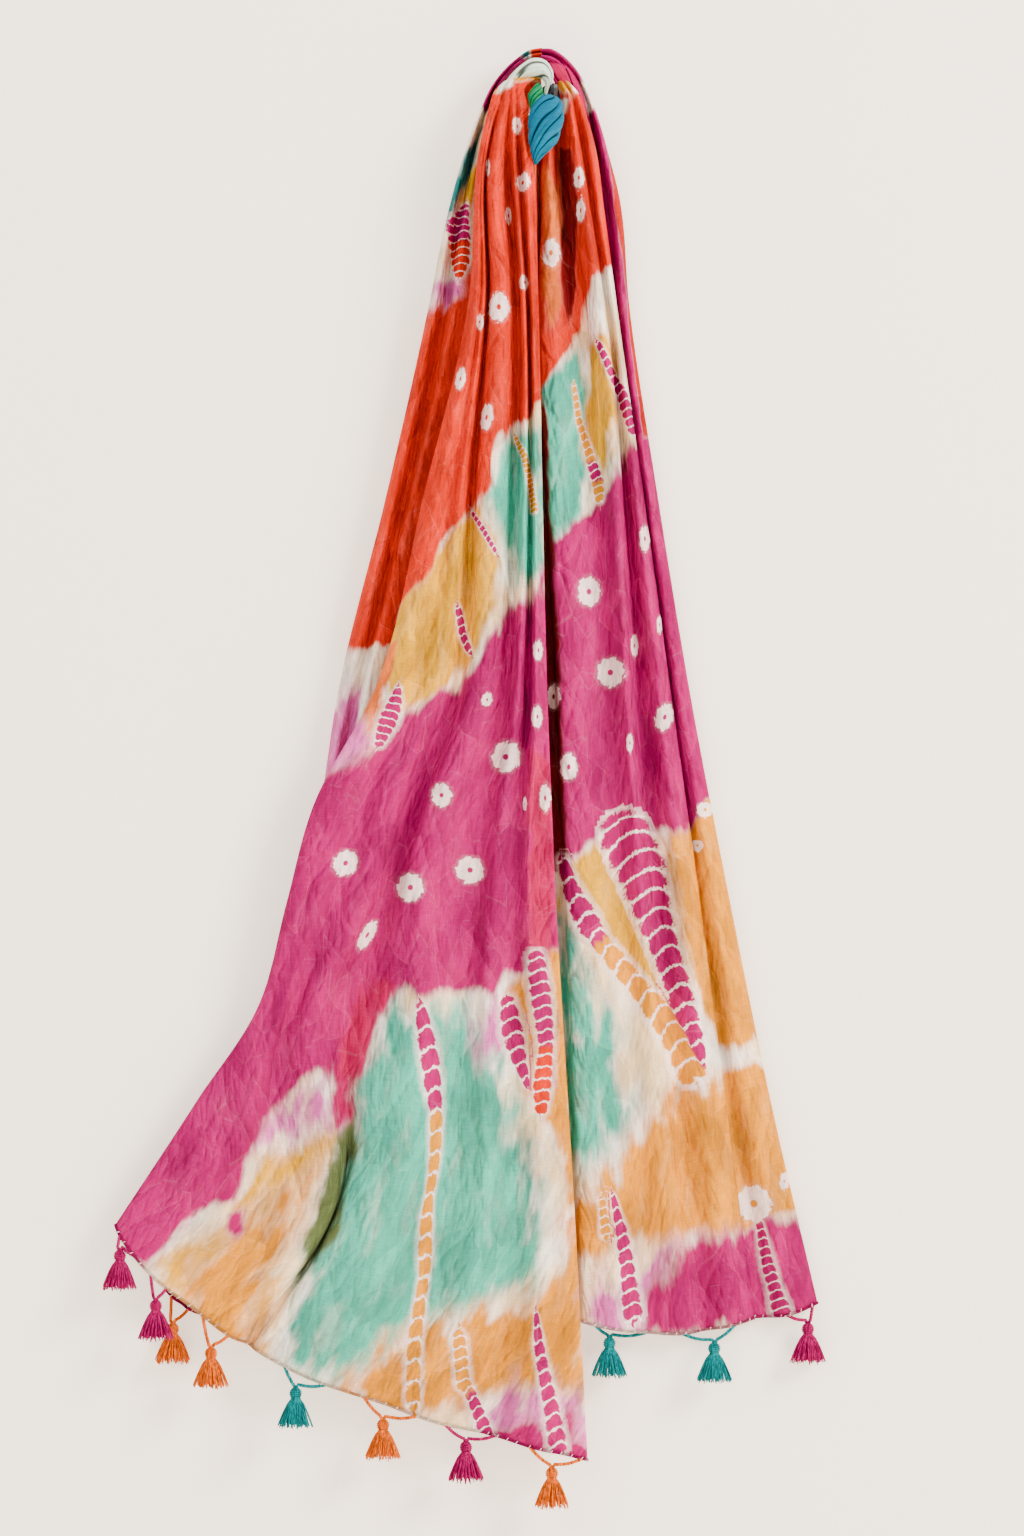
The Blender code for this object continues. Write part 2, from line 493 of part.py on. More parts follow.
def tassel_mesh():
    """A bound head whose lower faces are drawn out into separate strands; origin at its top."""
    shape = bmesh.new()
    bmesh.ops.create_uvsphere(shape, u_segments=TASSEL_SEGMENTS, v_segments=TASSEL_RINGS,
                              radius=TASSEL_HEAD_RADIUS * MM)
    roots = [face for face in shape.faces if face.calc_center_median().z < -STRAND_ROOT * TASSEL_HEAD_RADIUS * MM]
    for reach, size in ((STRAND_WAIST, STRAND_WAIST_SIZE), (1.0, STRAND_TIP_SIZE)):
        drawn = bmesh.ops.extrude_discrete_faces(shape, faces=roots)
        roots = drawn["faces"]
        for face in roots:
            centre = face.calc_center_median()
            outward = Vector((centre.x, centre.y, 0))
            spread = TASSEL_SKIRT_RADIUS * MM * reach ** STRAND_CURVE
            if len(face.verts) == 3:
                spread *= INNER_STRAND_SPREAD
            target = outward.normalized() * spread
            target.z = -(TASSEL_HEAD_RADIUS + TASSEL_SKIRT_LENGTH * reach) * MM
            for vertex in face.verts:
                vertex.co = target + (vertex.co - centre) * size
    bmesh.ops.translate(shape, verts=shape.verts, vec=(0, 0, -TASSEL_HEAD_RADIUS * MM))
    bmesh.ops.recalc_face_normals(shape, faces=shape.faces)
    mesh = bpy.data.meshes.new("tassel")
    shape.to_mesh(mesh)
    shape.free()
    return mesh


def build_tassels(collection):
    for number, (band, first_x, second_x, head_x, head_z, colour) in enumerate(TASSELS, 1):
        material = make_material("tassel_%s_%02d" % (colour, number), TASSEL_COLOURS[colour], 0.6)
        bottom = build_loop(number, band, first_x, second_x, head_x, head_z, collection, material)
        tassel = bpy.data.objects.new("tassel", tassel_mesh())
        adopt(tassel, "tassel_%02d" % number, collection, material)
        tassel.location = bottom - Vector((0, 0, (LOOP_CORD_RADIUS + SEAM_GAP) * MM))


def main():
    for obj in list(bpy.data.objects):
        bpy.data.objects.remove(obj)
    collection = bpy.data.collections.new("dupatta_stole")
    bpy.context.scene.collection.children.link(collection)
    build_hook(collection)
    for bunch in BUNCHES:
        build_bunch(bunch, collection)
    for band in BANDS:
        build_band(band, collection)
    build_tassels(collection)


if __name__ == "__main__":
    main()
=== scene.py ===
"""Dupatta stole on a wall hook: the dressed model.

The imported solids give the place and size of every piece. Each stretch of cloth is made again here as
a thin crinkled sheet with its tie-dyed colours, the knot as tight pleated twists, and the tassels as
threads on twisted cords. Band tables are in millimetres. The dye tables use the chart's own units,
counted right and down from its top left corner.
"""

import math
import random
from collections import namedtuple

import bmesh
import bpy
import numpy as np
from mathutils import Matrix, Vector, noise


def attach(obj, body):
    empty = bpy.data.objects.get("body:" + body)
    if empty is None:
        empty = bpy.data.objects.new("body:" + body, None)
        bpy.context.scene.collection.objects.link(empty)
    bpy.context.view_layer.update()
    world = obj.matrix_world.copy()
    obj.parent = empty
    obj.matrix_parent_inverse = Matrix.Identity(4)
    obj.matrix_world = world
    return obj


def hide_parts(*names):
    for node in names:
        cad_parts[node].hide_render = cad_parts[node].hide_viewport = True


bl_info = {
    "name": "Dupatta Stole",
    "version": (1, 0, 0),
    "blender": (4, 5, 0),
    "location": "View3D > Sidebar > Stole",
    "description": "Builds a tie-dyed stole hanging on a wall hook",
    "category": "Add Mesh",
}

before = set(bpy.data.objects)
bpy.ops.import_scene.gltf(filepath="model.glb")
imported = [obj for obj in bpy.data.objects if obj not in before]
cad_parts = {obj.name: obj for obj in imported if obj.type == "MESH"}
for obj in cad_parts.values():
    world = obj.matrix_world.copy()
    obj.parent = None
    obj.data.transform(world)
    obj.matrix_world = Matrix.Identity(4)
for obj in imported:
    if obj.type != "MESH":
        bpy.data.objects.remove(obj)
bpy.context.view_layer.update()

MM = 0.001
# The dye chart: its unit in mm, its size, and where the frame's origin is on it.
CHART_UNIT = 2 / 3
CHART_WIDTH = 1024
CHART_HEIGHT = 1536
CHART_X = 553.9
CHART_Y = 93.0

# ---------------- cloth bands

# A band is one stretch of the folded cloth. Its stations run from the knot to the hem and hold
#   left x, left z, right x, right z   the ends of a line across the band
#   back, front                        depth of the deepest valley and of the highest crest
#   sag                                how far that line bows down between its ends
# Its folds run across the band by name, each with how far below the first station it begins, and a
# share (0 left, 1 right) and a lift (0 valley, 1 crest) at each of the key stations.
# Its creases are soft troughs and ridges: fold and place along at the start, the same at the end,
# half width and height in mm.
Band = namedtuple("Band", "name stations keys folds sag_skew creases columns rows crowding")

FRONT_TAIL = Band(
    name="front_tail",
    stations=[
        (-30.6, -15.0, -10.6, -12.0, 25.0, 25.8, 0.0),
        (-33.9, 2.0, -9.4, 9.4, 35.6, 36.8, -4.5),
        (-39.3, -2.7, -19.9, -0.7, 45.8, 47.8, -3.0),
        (-41.9, -10.0, -17.9, -8.7, 44.4, 49.4, 0.0),
        (-44.6, -18.0, -16.6, -16.7, 42.5, 52.0, 0.0),
        (-49.3, -40.0, -14.9, -40.0, 39.0, 55.0, 0.0),
        (-56.6, -140.0, -10.6, -140.0, 35.0, 56.0, 0.0),
        (-86.6, -270.0, -7.9, -270.0, 31.0, 53.0, 0.0),
        (-119.9, -400.0, -4.6, -400.0, 28.0, 49.0, 0.0),
        (-158.6, -472.0, -1.9, -471.3, 26.0, 46.0, 0.0),
        (-177.9, -540.0, 1.4, -548.0, 24.0, 44.0, 0.0),
        (-195.3, -604.7, 6.1, -624.7, 21.0, 42.0, 6.0),
        (-237.3, -671.3, 12.7, -731.3, 18.0, 40.0, 19.0),
        (-292.6, -755.3, 22.1, -911.3, 16.0, 38.0, 37.0),
    ],
    keys=(2, 5, 6, 8, 10, 11, 12, 13),
    folds={
        "panel_under": (0, (-.05, .07, .09, .06, .05, .05, .05, .04), (0.1, 0.1, 0.2, 0.1, 0.1, 0.0, 0.1, 0.1)),
        "panel_edge": (0, (.00, .00, .00, .00, .00, .00, .00, .00), (0.5, 0.5, 0.5, 0.5, 0.4, 0.3, 0.4, 0.4)),
        "panel_crest": (0, (.07, .05, .10, .12, .09, .07, .10, .08), (0.7, 0.8, 0.9, 0.8, 0.7, 0.7, 0.8, 0.8)),
        "panel_dip": (0, (.13, .09, .17, .23, .18, .11, .20, .16), (0.6, 0.8, 0.7, 0.5, 0.5, 0.4, 0.4, 0.3)),
        "roll_crest": (0, (.19, .13, .22, .35, .29, .18, .36, .24), (0.7, 0.8, 0.8, 0.8, 0.8, 0.8, 0.9, 0.8)),
        "deep_fold": (0, (.26, .18, .28, .47, .37, .29, .40, .28), (0.4, 0.3, 0.1, 0.1, 0.1, 0.0, 0.0, 0.1)),
        "over_edge": (0, (.33, .24, .34, .55, .44, .42, .425, .31), (0.7, 0.8, 0.8, 0.8, 0.8, 0.7, 0.6, 0.6)),
        "centre_crest": (0, (.42, .37, .51, .65, .53, .52, .53, .42), (1.0, 1.0, 1.0, 0.9, 0.9, 0.9, 0.9, 0.9)),
        "third_valley": (0, (.52, .55, .70, .75, .67, .65, .66, .56), (0.4, 0.2, 0.1, 0.2, 0.3, 0.3, 0.4, 0.3)),
        "third_crest": (0, (.61, .65, .79, .83, .77, .75, .76, .68), (0.9, 0.9, 0.9, 0.9, 0.8, 0.9, 0.9, 0.9)),
        "fourth_dip": (0, (.70, .75, .85, .89, .85, .83, .84, .79), (0.5, 0.3, 0.3, 0.3, 0.4, 0.4, 0.4, 0.3)),
        "strip_crest": (0, (.79, .85, .91, .93, .90, .91, .91, .89), (0.9, 0.9, 0.9, 0.9, 0.8, 0.9, 0.9, 0.9)),
        "strip_line": (0, (.88, .93, .955, .965, .93, .96, .96, .95), (0.7, 0.7, 0.7, 0.7, 0.5, 0.7, 0.7, 0.6)),
        "strip_edge": (0, (.95, 1.0, 1.0, 1.0, 1.0, 1.0, 1.0, 1.0), (0.5, 0.6, 0.6, 0.6, 0.6, 0.6, 0.6, 0.6)),
        "strip_under": (0, (1.0, .95, .96, .97, .97, .98, .98, .98), (0.1, 0.1, 0.1, 0.2, 0.2, 0.2, 0.2, 0.2)),
    },
    sag_skew=0.66,
    creases=[
        (1.4, .10, 2.3, .52, 3.0, 1.3), (2.4, .30, 1.6, .80, 5.0, -1.6), (3.3, .16, 3.8, .60, 4.0, -1.4),
        (3.7, .55, 2.9, .97, 7.0, 1.8), (4.3, .40, 4.6, .86, 6.0, -1.5), (6.5, .12, 7.3, .48, 3.5, -1.4),
        (6.4, .50, 7.6, .93, 6.0, 1.6), (7.4, .58, 6.9, .99, 5.0, -1.7), (7.2, .20, 8.3, .62, 4.0, 1.2),
        (8.4, .48, 8.7, .97, 6.0, -1.8), (8.6, .68, 9.6, .98, 5.0, 1.3), (9.5, .35, 9.2, .80, 4.0, -1.2),
        (10.3, .52, 10.8, .97, 5.0, 1.4), (5.4, .66, 5.2, .96, 6.0, 1.2), (2.1, .70, 2.6, .98, 5.0, 1.5),
    ],
    columns=148, rows=318, crowding=1.22)

BACK_TAIL = Band(
    name="back_tail",
    stations=[
        (-4.6, 12.0, 5.4, 14.8, 20.0, 22.0, 0.0),
        (-4.6, 2.0, 10.4, 7.0, 23.0, 31.0, 0.0),
        (-4.6, -6.0, 15.4, 1.0, 22.0, 36.0, 0.0),
        (-10.6, -22.0, 21.4, -14.0, 15.0, 38.0, 0.0),
        (-14.6, -46.0, 28.1, -38.0, 9.0, 38.0, 0.0),
        (-15.9, -81.3, 33.4, -76.0, 8.0, 36.0, 0.0),
        (-22.6, -140.0, 42.1, -140.0, 7.0, 32.0, 0.0),
        (-31.3, -270.0, 60.7, -270.0, 6.0, 28.0, 0.0),
        (-37.9, -400.0, 78.7, -400.0, 6.0, 27.0, 0.0),
        (-41.9, -540.0, 98.1, -540.0, 6.0, 26.0, 0.0),
        (-45.3, -680.0, 116.1, -680.0, 6.0, 24.0, 6.0),
        (-50.6, -804.7, 134.7, -819.0, 6.0, 22.0, 15.0),
    ],
    keys=(4, 6, 7, 8, 9, 11),
    folds={
        "hidden_edge": (30, (.00, .00, .00, .00, .00, .00), (0.2, 0.2, 0.2, 0.2, 0.2, 0.2)),
        "hidden_crest": (30, (.05, .09, .12, .13, .14, .14), (0.5, 0.7, 0.7, 0.7, 0.7, 0.7)),
        "slit_valley": (30, (.11, .17, .27, .32, .32, .33), (0.0, 0.0, 0.0, 0.0, 0.0, 0.1)),
        "centre_edge": (30, (.17, .21, .31, .36, .37, .39), (0.4, 0.6, 0.8, 0.8, 0.8, 0.7)),
        "centre_crest": (27, (.29, .36, .43, .48, .48, .51), (0.6, 0.7, 0.9, 0.9, 0.9, 0.9)),
        "centre_dip": (21, (.44, .63, .62, .62, .62, .62), (0.1, 0.1, 0.3, 0.4, 0.4, 0.4)),
        "bunch_left": (8, (.55, .72, .71, .70, .68, .68), (0.6, 0.8, 0.7, 0.7, 0.7, 0.7)),
        "bunch_crest": (2, (.70, .83, .81, .75, .73, .75), (1.0, 1.0, 1.0, 1.0, 0.9, 0.9)),
        "second_valley": (1, (.81, .91, .87, .83, .80, .82), (0.5, 0.3, 0.1, 0.1, 0.2, 0.3)),
        "right_crest": (0, (.91, .96, .94, .93, .91, .91), (0.8, 0.8, 0.8, 0.8, 0.8, 0.8)),
        "right_edge": (0, (1.0, 1.0, 1.0, 1.0, 1.0, 1.0), (0.6, 0.4, 0.3, 0.3, 0.3, 0.35)),
    },
    sag_skew=1.4,
    creases=[
        (3.4, .10, 3.7, .58, 3.0, -1.2), (4.4, .20, 4.8, .72, 4.0, 1.3), (4.2, .55, 4.0, .96, 5.0, -1.6),
        (5.4, .34, 5.1, .94, 6.0, 1.5), (5.9, .14, 6.3, .50, 3.5, -1.2), (6.5, .46, 6.2, .95, 5.0, 1.5),
        (7.3, .22, 7.6, .66, 3.5, -1.1), (7.5, .58, 7.2, .97, 5.0, 1.3), (8.5, .40, 8.7, .94, 4.0, -1.2),
        (0.8, .30, 1.6, .90, 6.0, 1.3),
    ],
    columns=104, rows=270, crowding=1.2)

LEFT_COLUMN = Band(
    name="left_column",
    stations=[
        (-7.9, 30.3, -7.9, 23.3, 18.0, 34.0, 0.0),
        (-16.6, 28.7, -15.3, 22.3, 17.0, 34.0, 0.0),
        (-24.9, 23.3, -22.3, 18.7, 15.0, 33.0, 0.0),
        (-33.3, 15.7, -28.6, 13.0, 13.0, 32.0, 0.0),
        (-41.9, 4.7, -35.3, 4.0, 12.0, 31.0, 0.0),
        (-47.9, -8.0, -38.6, -8.7, 11.0, 31.0, 0.0),
        (-53.9, -22.7, -41.3, -22.7, 11.0, 31.0, 0.0),
        (-59.9, -40.0, -43.9, -40.0, 11.0, 31.0, 0.0),
        (-72.6, -87.3, -49.3, -87.3, 11.0, 31.0, 0.0),
        (-83.3, -140.0, -52.6, -140.0, 11.0, 30.0, 0.0),
        (-112.6, -270.0, -81.3, -270.0, 9.0, 26.0, 0.0),
        (-144.6, -400.0, -113.3, -400.0, 7.0, 22.0, 0.0),
        (-155.9, -472.0, -134.6, -472.0, 6.0, 18.0, 0.0),
        (-169.3, -540.0, -145.9, -540.0, 5.0, 16.0, 0.0),
        (-179.9, -600.0, -159.3, -602.0, 5.0, 14.0, 0.0),
        (-221.3, -680.0, -194.6, -692.0, 5.0, 13.0, 2.0),
        (-260.6, -800.0, -236.6, -817.0, 5.0, 13.0, 2.0),
    ],
    keys=(0, 5, 9, 11, 16),
    folds={
        "column_under": (0, (.85, .45, .16, .12, .12), (0.0, 0.0, 0.0, 0.0, 0.0)),
        "column_edge": (0, (.00, .00, .00, .00, .00), (0.4, 0.4, 0.4, 0.4, 0.4)),
        "outer_crest": (0, (.22, .16, .14, .20, .24), (1.0, 1.0, 0.9, 1.0, 1.0)),
        "outer_valley": (0, (.42, .36, .36, .42, .44), (0.6, 0.3, 0.1, 0.3, 0.3)),
        "inner_crest": (0, (.66, .60, .58, .62, .66), (1.0, 0.9, 0.9, 0.8, 0.8)),
        "inner_edge": (0, (1.0, 1.0, 1.0, 1.0, 1.0), (0.3, 0.1, 0.0, 0.1, 0.1)),
    },
    sag_skew=1.0,
    creases=[
        (1.5, .10, 1.8, .50, 2.0, -0.7), (2.4, .22, 2.8, .62, 2.0, 0.7), (3.6, .16, 3.2, .55, 2.5, -0.7),
    ],
    columns=56, rows=300, crowding=1.35)

RIGHT_COLUMN = Band(
    name="right_column",
    stations=[
        (-8.8, 22.0, -8.8, 30.2, 16.0, 36.0, 0.0),
        (-2.6, 20.7, -1.3, 29.7, 16.0, 37.0, 0.0),
        (2.4, 18.6, 5.7, 26.0, 14.0, 33.0, 0.0),
        (9.9, 12.5, 14.1, 18.3, 12.0, 27.0, 0.0),
        (16.9, 3.0, 21.0, 7.3, 9.0, 23.0, 0.0),
        (20.4, -6.0, 26.1, -4.7, 7.0, 20.0, 0.0),
        (21.9, -20.0, 31.2, -19.1, 5.0, 18.0, 0.0),
        (24.1, -40.0, 37.1, -40.0, 4.0, 17.0, 0.0),
        (27.4, -62.7, 43.1, -62.7, 3.5, 15.0, 0.0),
        (35.4, -140.0, 50.7, -140.0, 3.5, 14.0, 0.0),
        (52.1, -270.0, 70.1, -270.0, 3.5, 14.0, 0.0),
        (68.7, -400.0, 91.4, -400.0, 3.5, 14.0, 0.0),
        (87.4, -540.0, 118.1, -540.0, 3.5, 14.0, 0.0),
        (105.4, -680.0, 146.7, -680.0, 3.5, 14.0, 2.0),
        (123.4, -817.0, 176.7, -809.3, 3.5, 14.0, 5.0),
    ],
    keys=(0, 5, 9, 11, 14),
    folds={
        "inner_edge": (0, (.00, .00, .00, .00, .00), (0.7, 0.3, 0.1, 0.1, 0.1)),
        "inner_crest": (0, (.25, .25, .25, .22, .20), (1.0, 0.7, 0.4, 0.4, 0.5)),
        "middle_valley": (0, (.50, .46, .42, .40, .38), (0.6, 0.2, 0.0, 0.0, 0.1)),
        "outer_crest": (0, (.75, .78, .72, .68, .66), (1.0, 1.0, 1.0, 1.0, 1.0)),
        "column_edge": (0, (1.0, 1.0, 1.0, 1.0, 1.0), (0.3, 0.5, 0.5, 0.5, 0.5)),
        "column_under": (0, (.45, .60, .80, .86, .90), (0.0, 0.0, 0.0, 0.0, 0.1)),
    },
    sag_skew=1.0,
    creases=[
        (2.5, .16, 2.9, .60, 2.0, 0.7), (3.4, .40, 3.1, .90, 2.5, -0.8), (2.2, .55, 2.6, .95, 2.5, 0.8),
    ],
    columns=56, rows=280, crowding=1.35)

# ---------------- the dye chart

# A patch of dye is (dye, softness of its edge in chart units, outline on the chart).
PATCHES = {
    "front_tail": [
        ("yellow", 9, [(392, 560), (440, 548), (478, 505), (500, 540), (496, 610), (470, 668), (430, 702),
            (396, 712), (384, 680), (388, 610)]),
        ("peach", 6, [(350, 655), (395, 640), (390, 700), (366, 768), (340, 790), (352, 720)]),
        ("mint", 15, [(498, 455), (518, 432), (545, 425), (545, 570), (530, 585), (508, 560), (490, 520),
            (486, 490)]),
        ("yellow", 15, [(338, 1128), (292, 1146), (252, 1156), (238, 1196), (228, 1218), (196, 1244),
            (162, 1262), (170, 1310), (262, 1365), (268, 1320), (292, 1240), (318, 1190), (336, 1160)]),
        ("amber", 17, [(322, 1160), (280, 1200), (236, 1232), (205, 1268), (184, 1296), (215, 1335),
            (250, 1350), (246, 1310), (272, 1262), (300, 1212)]),
        ("mint", 23, [(392, 992), (408, 1012), (452, 1010), (484, 1018), (500, 1040), (512, 1110),
            (532, 1180), (546, 1240), (532, 1288), (486, 1306), (444, 1322), (404, 1345), (360, 1388),
            (316, 1378), (292, 1350), (300, 1300), (302, 1240), (322, 1184), (346, 1130), (352, 1090),
            (376, 1034)]),
        ("amber", 20, [(326, 1400), (352, 1380), (388, 1350), (430, 1328), (462, 1312), (502, 1312),
            (540, 1292), (560, 1262), (568, 1214), (584, 1210), (592, 1400), (566, 1404), (520, 1398),
            (480, 1400), (440, 1410), (400, 1412)]),
        ("orange", 4, [(566, 1216), (584, 1208), (592, 1340), (578, 1340), (570, 1280)]),
        ("amber", 9, [(548, 930), (566, 930), (582, 1190), (572, 1210), (560, 1150), (548, 1112),
            (528, 1092), (508, 1040), (500, 1000), (520, 975)]),
        ("orange", 5, [(508, 1004), (530, 980), (548, 958), (556, 1000), (558, 1106), (548, 1116),
            (530, 1090), (514, 1042)]),
        ("orange", 5, [(470, 40), (570, 40), (570, 396), (537, 402), (530, 415), (512, 430), (500, 450),
            (490, 480), (480, 495), (465, 520), (445, 545), (430, 575), (400, 610), (385, 625), (347, 652),
            (310, 660), (310, 500), (380, 250)]),
        ("white", 2, [(501, 84), (514, 80), (512, 90), (498, 98)]),
        ("white", 2, [(529, 100), (533, 102), (534, 126), (529, 122)]),
        ("amber", 3, [(494, 72), (545, 66), (548, 80), (530, 82), (512, 86), (500, 98), (492, 96)]),
        ("lilac", 10, [(326, 700), (352, 690), (366, 742), (350, 800), (300, 800), (308, 750)]),
        ("magenta", 7, [(290, 812), (325, 778), (360, 762), (385, 738), (400, 718), (430, 702), (455, 692),
            (470, 672), (487, 645), (510, 612), (530, 596), (545, 566), (562, 700), (562, 946), (545, 953),
            (510, 975), (495, 1000), (480, 985), (450, 985), (420, 1005), (395, 985), (386, 1004),
            (372, 1036), (357, 1080), (347, 1122), (334, 1128), (333, 1080), (328, 1058), (304, 1080),
            (262, 1126), (250, 1150), (236, 1196), (200, 1214), (164, 1240), (146, 1262), (80, 1262),
            (80, 1200), (240, 930)]),
        ("lilac", 14, [(492, 990), (508, 980), (504, 1036), (486, 1058), (474, 1020)]),
        ("lilac", 20, [(330, 1070), (336, 1110), (300, 1130), (256, 1150), (264, 1124), (300, 1086)]),
        ("lilac", 20, [(486, 1412), (520, 1392), (560, 1386), (592, 1410), (592, 1470), (530, 1456),
            (486, 1440)]),
        ("magenta", 7, [(500, 1432), (545, 1424), (574, 1408), (578, 1446), (560, 1462), (520, 1452)]),
        ("magenta", 6, [(232, 1212), (241, 1211), (242, 1228), (236, 1236), (229, 1228)]),
        # Painted shade in the fold between the left panel and the mint panel, laid as a dark olive patch.
        ("olive_fold_shade", 7, [(355, 1096), (354, 1140), (351, 1180), (337, 1220), (317, 1258), (300, 1282),
            (297, 1268), (304, 1240), (313, 1212), (325, 1180), (338, 1140), (345, 1108)]),
        ("crimson", 5, [(531, 750), (552, 764), (555, 900), (550, 962), (556, 1085), (546, 1085),
            (531, 965), (527, 860)]),
        ("crimson", 9, [(394, 984), (374, 1036), (358, 1082), (347, 1118), (337, 1122), (335, 1080),
            (342, 1040), (358, 1000), (378, 976)]),
        ("magenta", 2, [(492, 1430), (586, 1450), (586, 1475), (492, 1475)]),
    ],
    "back_tail": [
        ("orange", 5, [(525, 40), (625, 40), (628, 200), (618, 262), (601, 269), (591, 282), (583, 322),
            (573, 347), (563, 359), (552, 373), (540, 386), (500, 396), (480, 200)]),
        ("white", 2, [(559, 97), (568, 99), (566, 113), (561, 114)]),
        ("white", 2, [(569, 82), (578, 84), (581, 94), (573, 92)]),
        ("amber", 4, [(552, 60), (570, 66), (576, 84), (570, 96), (562, 92), (553, 82)]),
        ("peach", 8, [(537, 168), (552, 158), (560, 190), (561, 262), (556, 318), (546, 330), (539, 262)]),
        ("mint", 10, [(538, 372), (560, 362), (580, 350), (592, 392), (592, 460), (578, 516), (556, 538),
            (538, 548)]),
        ("yellow", 8, [(590, 345), (602, 338), (616, 352), (618, 428), (610, 472), (600, 500), (590, 450),
            (586, 400)]),
        ("mint", 12, [(602, 438), (616, 436), (614, 474), (603, 474)]),
        ("magenta", 6, [(490, 600), (541, 560), (553, 540), (575, 520), (600, 500), (615, 475), (632, 442),
            (672, 436), (730, 790), (706, 796), (690, 832), (650, 832), (600, 838), (562, 862), (520, 880),
            (470, 900)]),
        ("yellow", 12, [(556, 862), (600, 842), (660, 838), (690, 860), (700, 960), (706, 1030),
            (668, 1020), (622, 985), (590, 942), (566, 908)]),
        ("amber", 7, [(668, 834), (706, 798), (770, 800), (790, 1040), (745, 1048), (716, 1044),
            (702, 1000), (690, 950), (680, 890)]),
        ("mint", 22, [(556, 880), (572, 930), (592, 1000), (622, 1060), (628, 1104), (612, 1150),
            (580, 1172), (560, 1160), (556, 1000)]),
        ("amber", 20, [(592, 1196), (636, 1146), (660, 1106), (700, 1084), (740, 1072), (800, 1070),
            (810, 1230), (740, 1240), (700, 1240), (660, 1252), (640, 1240), (600, 1262), (570, 1252),
            (560, 1200)]),
        # Painted shade: the two dark wine patches below lie in the fold valleys of the back tail.
        ("valley_shade", 2.5, [(560, 142), (572, 150), (579, 205), (577, 262), (570, 330), (562, 300), (561, 220)]),
        ("valley_shade", 3, [(530, 392), (545, 396), (553, 540), (559, 640), (564, 760), (569, 866), (548, 880),
            (530, 640)]),
        ("lilac", 20, [(588, 1300), (640, 1260), (672, 1250), (680, 1330), (588, 1330)]),
        ("magenta", 12, [(648, 1300), (672, 1264), (700, 1242), (740, 1234), (810, 1216), (840, 1330),
            (650, 1336)]),
    ],
    "left_column": [
        ("orange", 2, [(530, 38), (566, 38), (566, 74), (538, 74), (531, 58)]),
        ("teal", 2, [(514, 50), (530, 46), (530, 58), (517, 61)]),
        ("magenta", 3, [(534, 58), (526, 68), (510, 84), (499, 98), (491, 112), (480, 104), (482, 86),
            (500, 62), (516, 56)]),
        ("teal", 3, [(483, 122), (490, 126), (479, 165), (463, 195), (450, 224), (442, 226), (450, 192),
            (462, 160), (474, 138)]),
        ("yellow", 4, [(492, 108), (487, 142), (474, 200), (470, 246), (458, 250), (452, 234), (462, 192),
            (478, 150)]),
        ("lilac", 7, [(434, 286), (458, 274), (460, 292), (444, 306), (430, 312)]),
        ("orange", 6, [(467, 262), (452, 288), (428, 308), (415, 318), (380, 450), (330, 660), (346, 656),
            (390, 640), (480, 420), (486, 262)]),
        ("lilac", 12, [(330, 700), (352, 690), (360, 740), (340, 790), (300, 790)]),
        ("magenta", 8, [(290, 812), (325, 780), (400, 750), (400, 1300), (150, 1400), (60, 1200),
            (230, 930)]),
    ],
    "right_column": [
        ("red", 1.2, [(530, 30), (660, 40), (690, 300), (690, 470), (600, 470), (560, 300), (540, 100)]),
        ("orange", 2.5, [(548, 44), (556, 46), (562, 60), (566, 76), (560, 84), (550, 70), (540, 52)]),
        ("magenta", 1.6, [(530, 34), (562, 44), (580, 72), (590, 96), (584, 104), (566, 84), (552, 72),
            (530, 72)]),
        ("white", 3, [(577, 80), (588, 84), (598, 106), (590, 112), (582, 98)]),
        ("magenta", 1.2, [(540, 106), (597, 108), (606, 140), (614, 190), (622, 250), (629, 320),
            (638, 400), (648, 470), (560, 470)]),
        ("magenta", 3, [(560, 440), (660, 436), (700, 440), (740, 800), (706, 796), (694, 832),
            (600, 832)]),
        ("amber", 8, [(640, 834), (708, 797), (770, 790), (790, 1038), (745, 1046), (660, 1044)]),
        ("amber", 8, [(660, 1080), (760, 1068), (800, 1072), (825, 1214), (790, 1218), (740, 1238),
            (660, 1238)]),
        ("magenta", 8, [(660, 1243), (740, 1236), (770, 1226), (800, 1214), (860, 1330), (660, 1340)]),
    ],
}

# Tied dots: x, y, width, height and tilt in degrees, all on the chart.
TIED_DOTS = {
    "front_tail": [
        (517, 130, 9, 17, 0), (488, 171, 5, 18, 0), (523, 186, 13, 18, 0), (508, 218, 6, 18, 0),
        (524, 286, 9, 15, 0), (499, 311, 20, 28, 0), (480, 325, 7, 16, 0), (461, 382, 9, 22, 10),
        (443, 383, 7, 14, 0), (487, 420, 12, 26, 8), (408, 467, 22, 28, 20), (378, 533, 5, 18, 10),
        (390, 573, 22, 28, 20), (538, 651, 9, 20, 0), (487, 700, 10, 14, 20), (537, 717, 10, 22, 0),
        (506, 757, 27, 30, 25), (442, 795, 20, 23, 0), (545, 798, 11, 27, 0), (525, 804, 4, 14, 0),
        (346, 863, 23, 27, 35), (470, 870, 28, 26, 25), (411, 887, 26, 28, 20), (367, 935, 12, 32, 30),
    ],
    "back_tail": [
        (551, 252, 18, 27, 0), (579, 179, 10, 20, 0), (581, 211, 8, 22, 0), (645, 538, 10, 26, 0),
        (589, 591, 23, 29, 0), (660, 624, 6, 18, 0), (635, 645, 8, 22, 0), (611, 672, 27, 29, 0),
        (554, 696, 13, 26, 0), (665, 717, 17, 27, 15), (630, 743, 6, 18, 0), (569, 767, 17, 27, 0),
    ],
    "left_column": [
        (483, 237, 6, 16, 0),
    ],
    "right_column": [
        (587, 96, 9, 26, 25), (706, 810, 16, 16, 0), (699, 846, 11, 13, 0), (756, 1207, 34, 37, 0),
        (786, 1184, 10, 18, 0),
    ],
}

